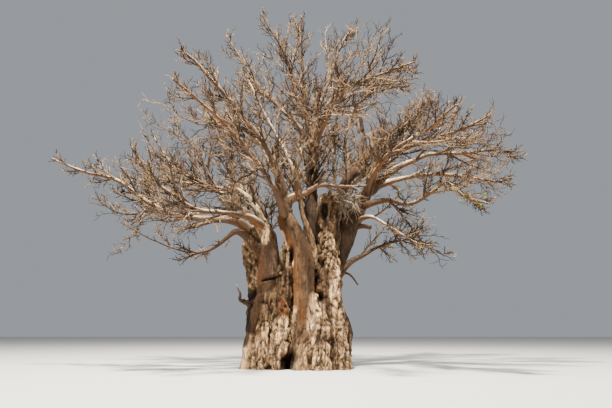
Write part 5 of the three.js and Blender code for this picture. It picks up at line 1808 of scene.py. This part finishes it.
class LateLeaves:
    """The few sprays of young leaves of the photo: each place is x, z, how far round it, and how many sprays."""

    PLACES = ((-5.2, 7.4, 1.0, 8), (-3.1, 9.2, 0.6, 2), (1.85, 8.8, 0.6, 2), (6.0, 5.6, 1.4, 14), (8.1, 9.4, 0.8, 2),
              (7.5, 7.0, 0.8, 2), (-4.4, 8.6, 1.5, 4), (4.5, 8.0, 1.5, 4))
    PER_SPRAY = 7
    LENGTH = 0.11

    def __init__(self, crown: Crown) -> None:
        """Keeps the crown whose twigs bear them."""
        self.crown = crown

    def tree(self, finish: bpy.types.Material) -> bpy.types.NodeTree:
        """The Geometry Nodes tree that puts a folded leaf on each point.

        Args:
            finish: the leaves' material.

        Returns:
            The tree, with the input Leaf length.
        """
        group = bpy.data.node_groups.new("leaf_spray", "GeometryNodeTree")
        group.interface.new_socket("Points", in_out="INPUT", socket_type="NodeSocketGeometry")
        length = group.interface.new_socket("Leaf length", in_out="INPUT", socket_type="NodeSocketFloat")
        length.default_value = self.LENGTH
        group.interface.new_socket("Leaves", in_out="OUTPUT", socket_type="NodeSocketGeometry")
        make = Wiring(group)
        start, end = make.add("NodeGroupInput"), make.add("NodeGroupOutput")
        blade = make.add("GeometryNodeMeshCircle", {"Vertices": 8, "Radius": 0.5}, fill_type="TRIANGLE_FAN")
        shape = make.add("GeometryNodeTransform", {"Geometry": blade.outputs["Mesh"], "Translation": (0.5, 0.0, 0.0),
                                                   "Scale": (1.0, 0.42, 1.0)})
        parts = make.add("ShaderNodeSeparateXYZ", {"Vector": make.add("GeometryNodeInputPosition").outputs["Position"]})
        along, across = parts.outputs["X"], make.math("ABSOLUTE", parts.outputs["Y"])
        sag = make.math("MULTIPLY", make.math("MULTIPLY", along, along), -0.35)
        lift = make.add("ShaderNodeCombineXYZ", {"Z": make.math("MULTIPLY_ADD", across, 0.6, sag)})
        fold = make.add("GeometryNodeSetPosition",
                        {"Geometry": shape.outputs["Geometry"], "Offset": lift.outputs["Vector"]})
        points = make.add("GeometryNodeMeshToPoints", {"Mesh": start.outputs["Points"]})
        place = make.add("GeometryNodeInstanceOnPoints",
                         {"Points": points.outputs["Points"], "Instance": fold.outputs["Geometry"],
                          "Rotation": make.named("FLOAT_VECTOR", "turn"), "Scale": start.outputs["Leaf length"]})
        real = make.add("GeometryNodeRealizeInstances", {"Geometry": place.outputs["Instances"]})
        dress = make.add("GeometryNodeSetMaterial", {"Geometry": real.outputs["Geometry"], "Material": finish})
        make.link(dress.outputs["Geometry"], end.inputs["Leaves"])
        return group

    def build(self, finishes: tuple[bpy.types.Material, ...]) -> list[bpy.types.Object]:
        """The sprays, one piece for each tone."""
        rng = np.random.default_rng(907)
        twigs = self.crown.generations[2]
        tips = twigs.points[:, -1]
        sprays = []
        for x, z, reach, count in self.PLACES:
            near = np.flatnonzero(np.hypot(tips[:, 0] - x, tips[:, 2] - z) < reach)
            sprays.append(rng.choice(near, min(count, len(near)), replace=False))
        sprays = np.concatenate(sprays)
        pieces = []
        for i, finish in enumerate(finishes):
            chosen = sprays[i::len(finishes)]
            row = np.repeat(chosen, self.PER_SPRAY)
            share = 1 - 0.5 * rng.random(len(row)) ** 2
            places, along, _ = twigs.place(row, share)
            turn = np.stack([rng.random(len(row)) * 0.8 - 0.4, rng.random(len(row)) * 1.2 - 0.8,
                             rng.random(len(row)) * 2 * math.pi], axis=1)
            mesh = bpy.data.meshes.new(f"leaves_{i + 1}")
            mesh.from_pydata(places.tolist(), [], [])
            paint(mesh, {"turn": turn})
            piece = new_object(f"leaves_{i + 1}", mesh)
            grow = piece.modifiers.new("grow", "NODES")
            grow.node_group = self.tree(finish)
            socket = next(s for s in grow.node_group.interface.items_tree if s.name == "Leaf length")
            grow[socket.identifier] = self.LENGTH
            pieces.append(finished(piece))
        return pieces


# ---------------------------------------------------------------- studio


@dataclass(frozen=True)
class Lamp:
    """A soft lamp: place, what it looks at, size and power."""

    name: str
    at: Point
    towards: Point
    size: float
    power: float
    colour: Point = (1.0, 1.0, 1.0)

    def build(self) -> None:
        """Hangs the lamp."""
        light = bpy.data.lights.new(self.name, "AREA")
        light.shape, light.size, light.energy, light.color = "DISK", self.size, self.power, self.colour
        lamp = bpy.data.objects.new(self.name, light)
        lamp.location = self.at
        lamp.rotation_euler = (Vector(self.towards) - Vector(self.at)).to_track_quat("-Z", "Y").to_euler()
        bpy.context.scene.collection.objects.link(lamp)


class Studio:
    """The floor, the light and the camera."""

    EYE = (0.36, -27.5, 1.6)
    PITCH = 12.0
    LENS = 35.0
    FLOOR = 260.0
    LAMPS = (
        Lamp("key", (-4.0, -14.0, 38.0), (0.0, 0.0, 4.0), 3.0, 88000.0, (1.0, 0.94, 0.84)),
        Lamp("fill", (12.0, -26.0, 2.5), (0.0, 0.0, 5.0), 10.0, 900.0, (1.0, 0.8, 0.6)),
        Lamp("back", (6.0, 24.0, 26.0), (0.0, 0.0, 8.0), 14.0, 6000.0),
    )

    def floor(self) -> None:
        """A plain pale floor."""
        half = self.FLOOR / 2
        mesh = bpy.data.meshes.new("floor")
        mesh.from_pydata([(-half, -half, 0), (half, -half, 0), (half, half, 0), (-half, half, 0)], [], [(0, 1, 2, 3)])
        finish, make, shader = new_material("floor", 0.9, 0.2)
        tone = make.noise(make.add("ShaderNodeTexCoord").outputs["Object"], 0.6, 2.0, 0.5)
        make.link(make.mix(tone, (0.60, 0.585, 0.56), (0.64, 0.625, 0.6)), shader.inputs["Base Color"])
        mesh.materials.append(finish)
        new_object("floor", mesh)

    def build(self) -> None:
        """Sets up the whole studio."""
        self.floor()
        for lamp in self.LAMPS:
            lamp.build()
        world = bpy.data.worlds.new("studio")
        world.use_nodes = True
        sky = next(n for n in world.node_tree.nodes if n.type == "BACKGROUND")
        sky.inputs["Color"].default_value = (0.80, 0.86, 0.93, 1.0)
        sky.inputs["Strength"].default_value = 0.42
        bpy.context.scene.world = world
        data = bpy.data.cameras.new("camera")
        data.lens, data.sensor_width, data.clip_end = self.LENS, 36.0, 600.0
        camera = bpy.data.objects.new("camera", data)
        camera.location = self.EYE
        camera.rotation_euler = (math.radians(90.0 + self.PITCH), 0.0, 0.0)
        bpy.context.scene.collection.objects.link(camera)
        bpy.context.scene.camera = camera


# ---------------------------------------------------------------- the whole tree


def placed(piece: bpy.types.Object, slot: str, *nodes: str) -> None:
    """Rides a finished piece on the tree's one body, hides the parts that it stands for, and reports its triangles."""
    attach(piece, "root")
    if nodes:
        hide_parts(*nodes)
    log.info("%s: %d triangles", piece.name, sum(len(p.vertices) - 2 for p in piece.data.polygons))


def main() -> None:
    """Builds the tree, piece by piece, and its studio."""
    logging.basicConfig(level=logging.INFO, format="%(name)s %(message)s")
    finishes = Finishes.build()
    tree = Frame()
    foot, stems = Trunk(tree).build(finishes.trunk)
    placed(foot, "trunk_bark", "trunk")
    placed(stems, "trunk_bark", *Trunk.NODES)
    for name in Trunk.THIN:
        path, radius_at = tree.lines[name]
        shares = np.linspace(Trunk.THIN_FROM, 1.0, Trunk.THIN_LEVELS)
        dark = Trunk.THIN_DARK if name == "right_stub" else 0.0
        skin = BoughSkin(f"bark_{name}", path.at(shares), radius_at(shares), dark, len(name))
        placed(skin.build(finishes.bough), "trunk_bark")
    for name, limb in tree.snags.items():
        skin = BoughSkin(f"bark_{name}", limb.line, limb.thickness(), SNAG_DARK[name], limb.seed)
        placed(skin.build(finishes.bough), "trunk_bark")
    for name, limb in tree.limbs.items():
        skin = BoughSkin(f"limb_{name}", limb.line, limb.thickness(), DARK_BOUGHS.get(name, 0.0), limb.seed % 97)
        placed(skin.build(finishes.bough), "bough_bark", f"bough_{name}")
    for name, (root, end, path) in STUBS.items():
        line = SmoothPath(path).at(np.linspace(0.0, 1.0, STUB_LEVELS))
        skin = BoughSkin(name, line, np.linspace(root, end, STUB_LEVELS), STUB_DARK, STUB_SEED)
        placed(skin.build(finishes.bough), "bough_bark")
    crown = Crown(tree)
    twig_tree = TwigTree(finishes.twigs)
    for mass, name in enumerate(tree.limbs):
        lots = []
        for level, growth in enumerate(crown.generations):
            mine = growth.mass == mass
            lots.append((growth.points[mine], growth.radii[mine], growth.tone[mine], level > 1))
        placed(twig_tree.skin(f"spray_{name}", lots), "twigs", f"twigs_{name}")
    stick_tree = TwigTree(finishes.sticks)
    for name, tangle in TANGLES.items():
        placed(StickTangle(f"sticks_{name}", tangle, tree).build(stick_tree), "dead_sticks", name)
    for piece in LateLeaves(crown).build(finishes.leaves):
        placed(piece, "twigs")
    Studio().build()


if __name__ == "__main__":
    main()
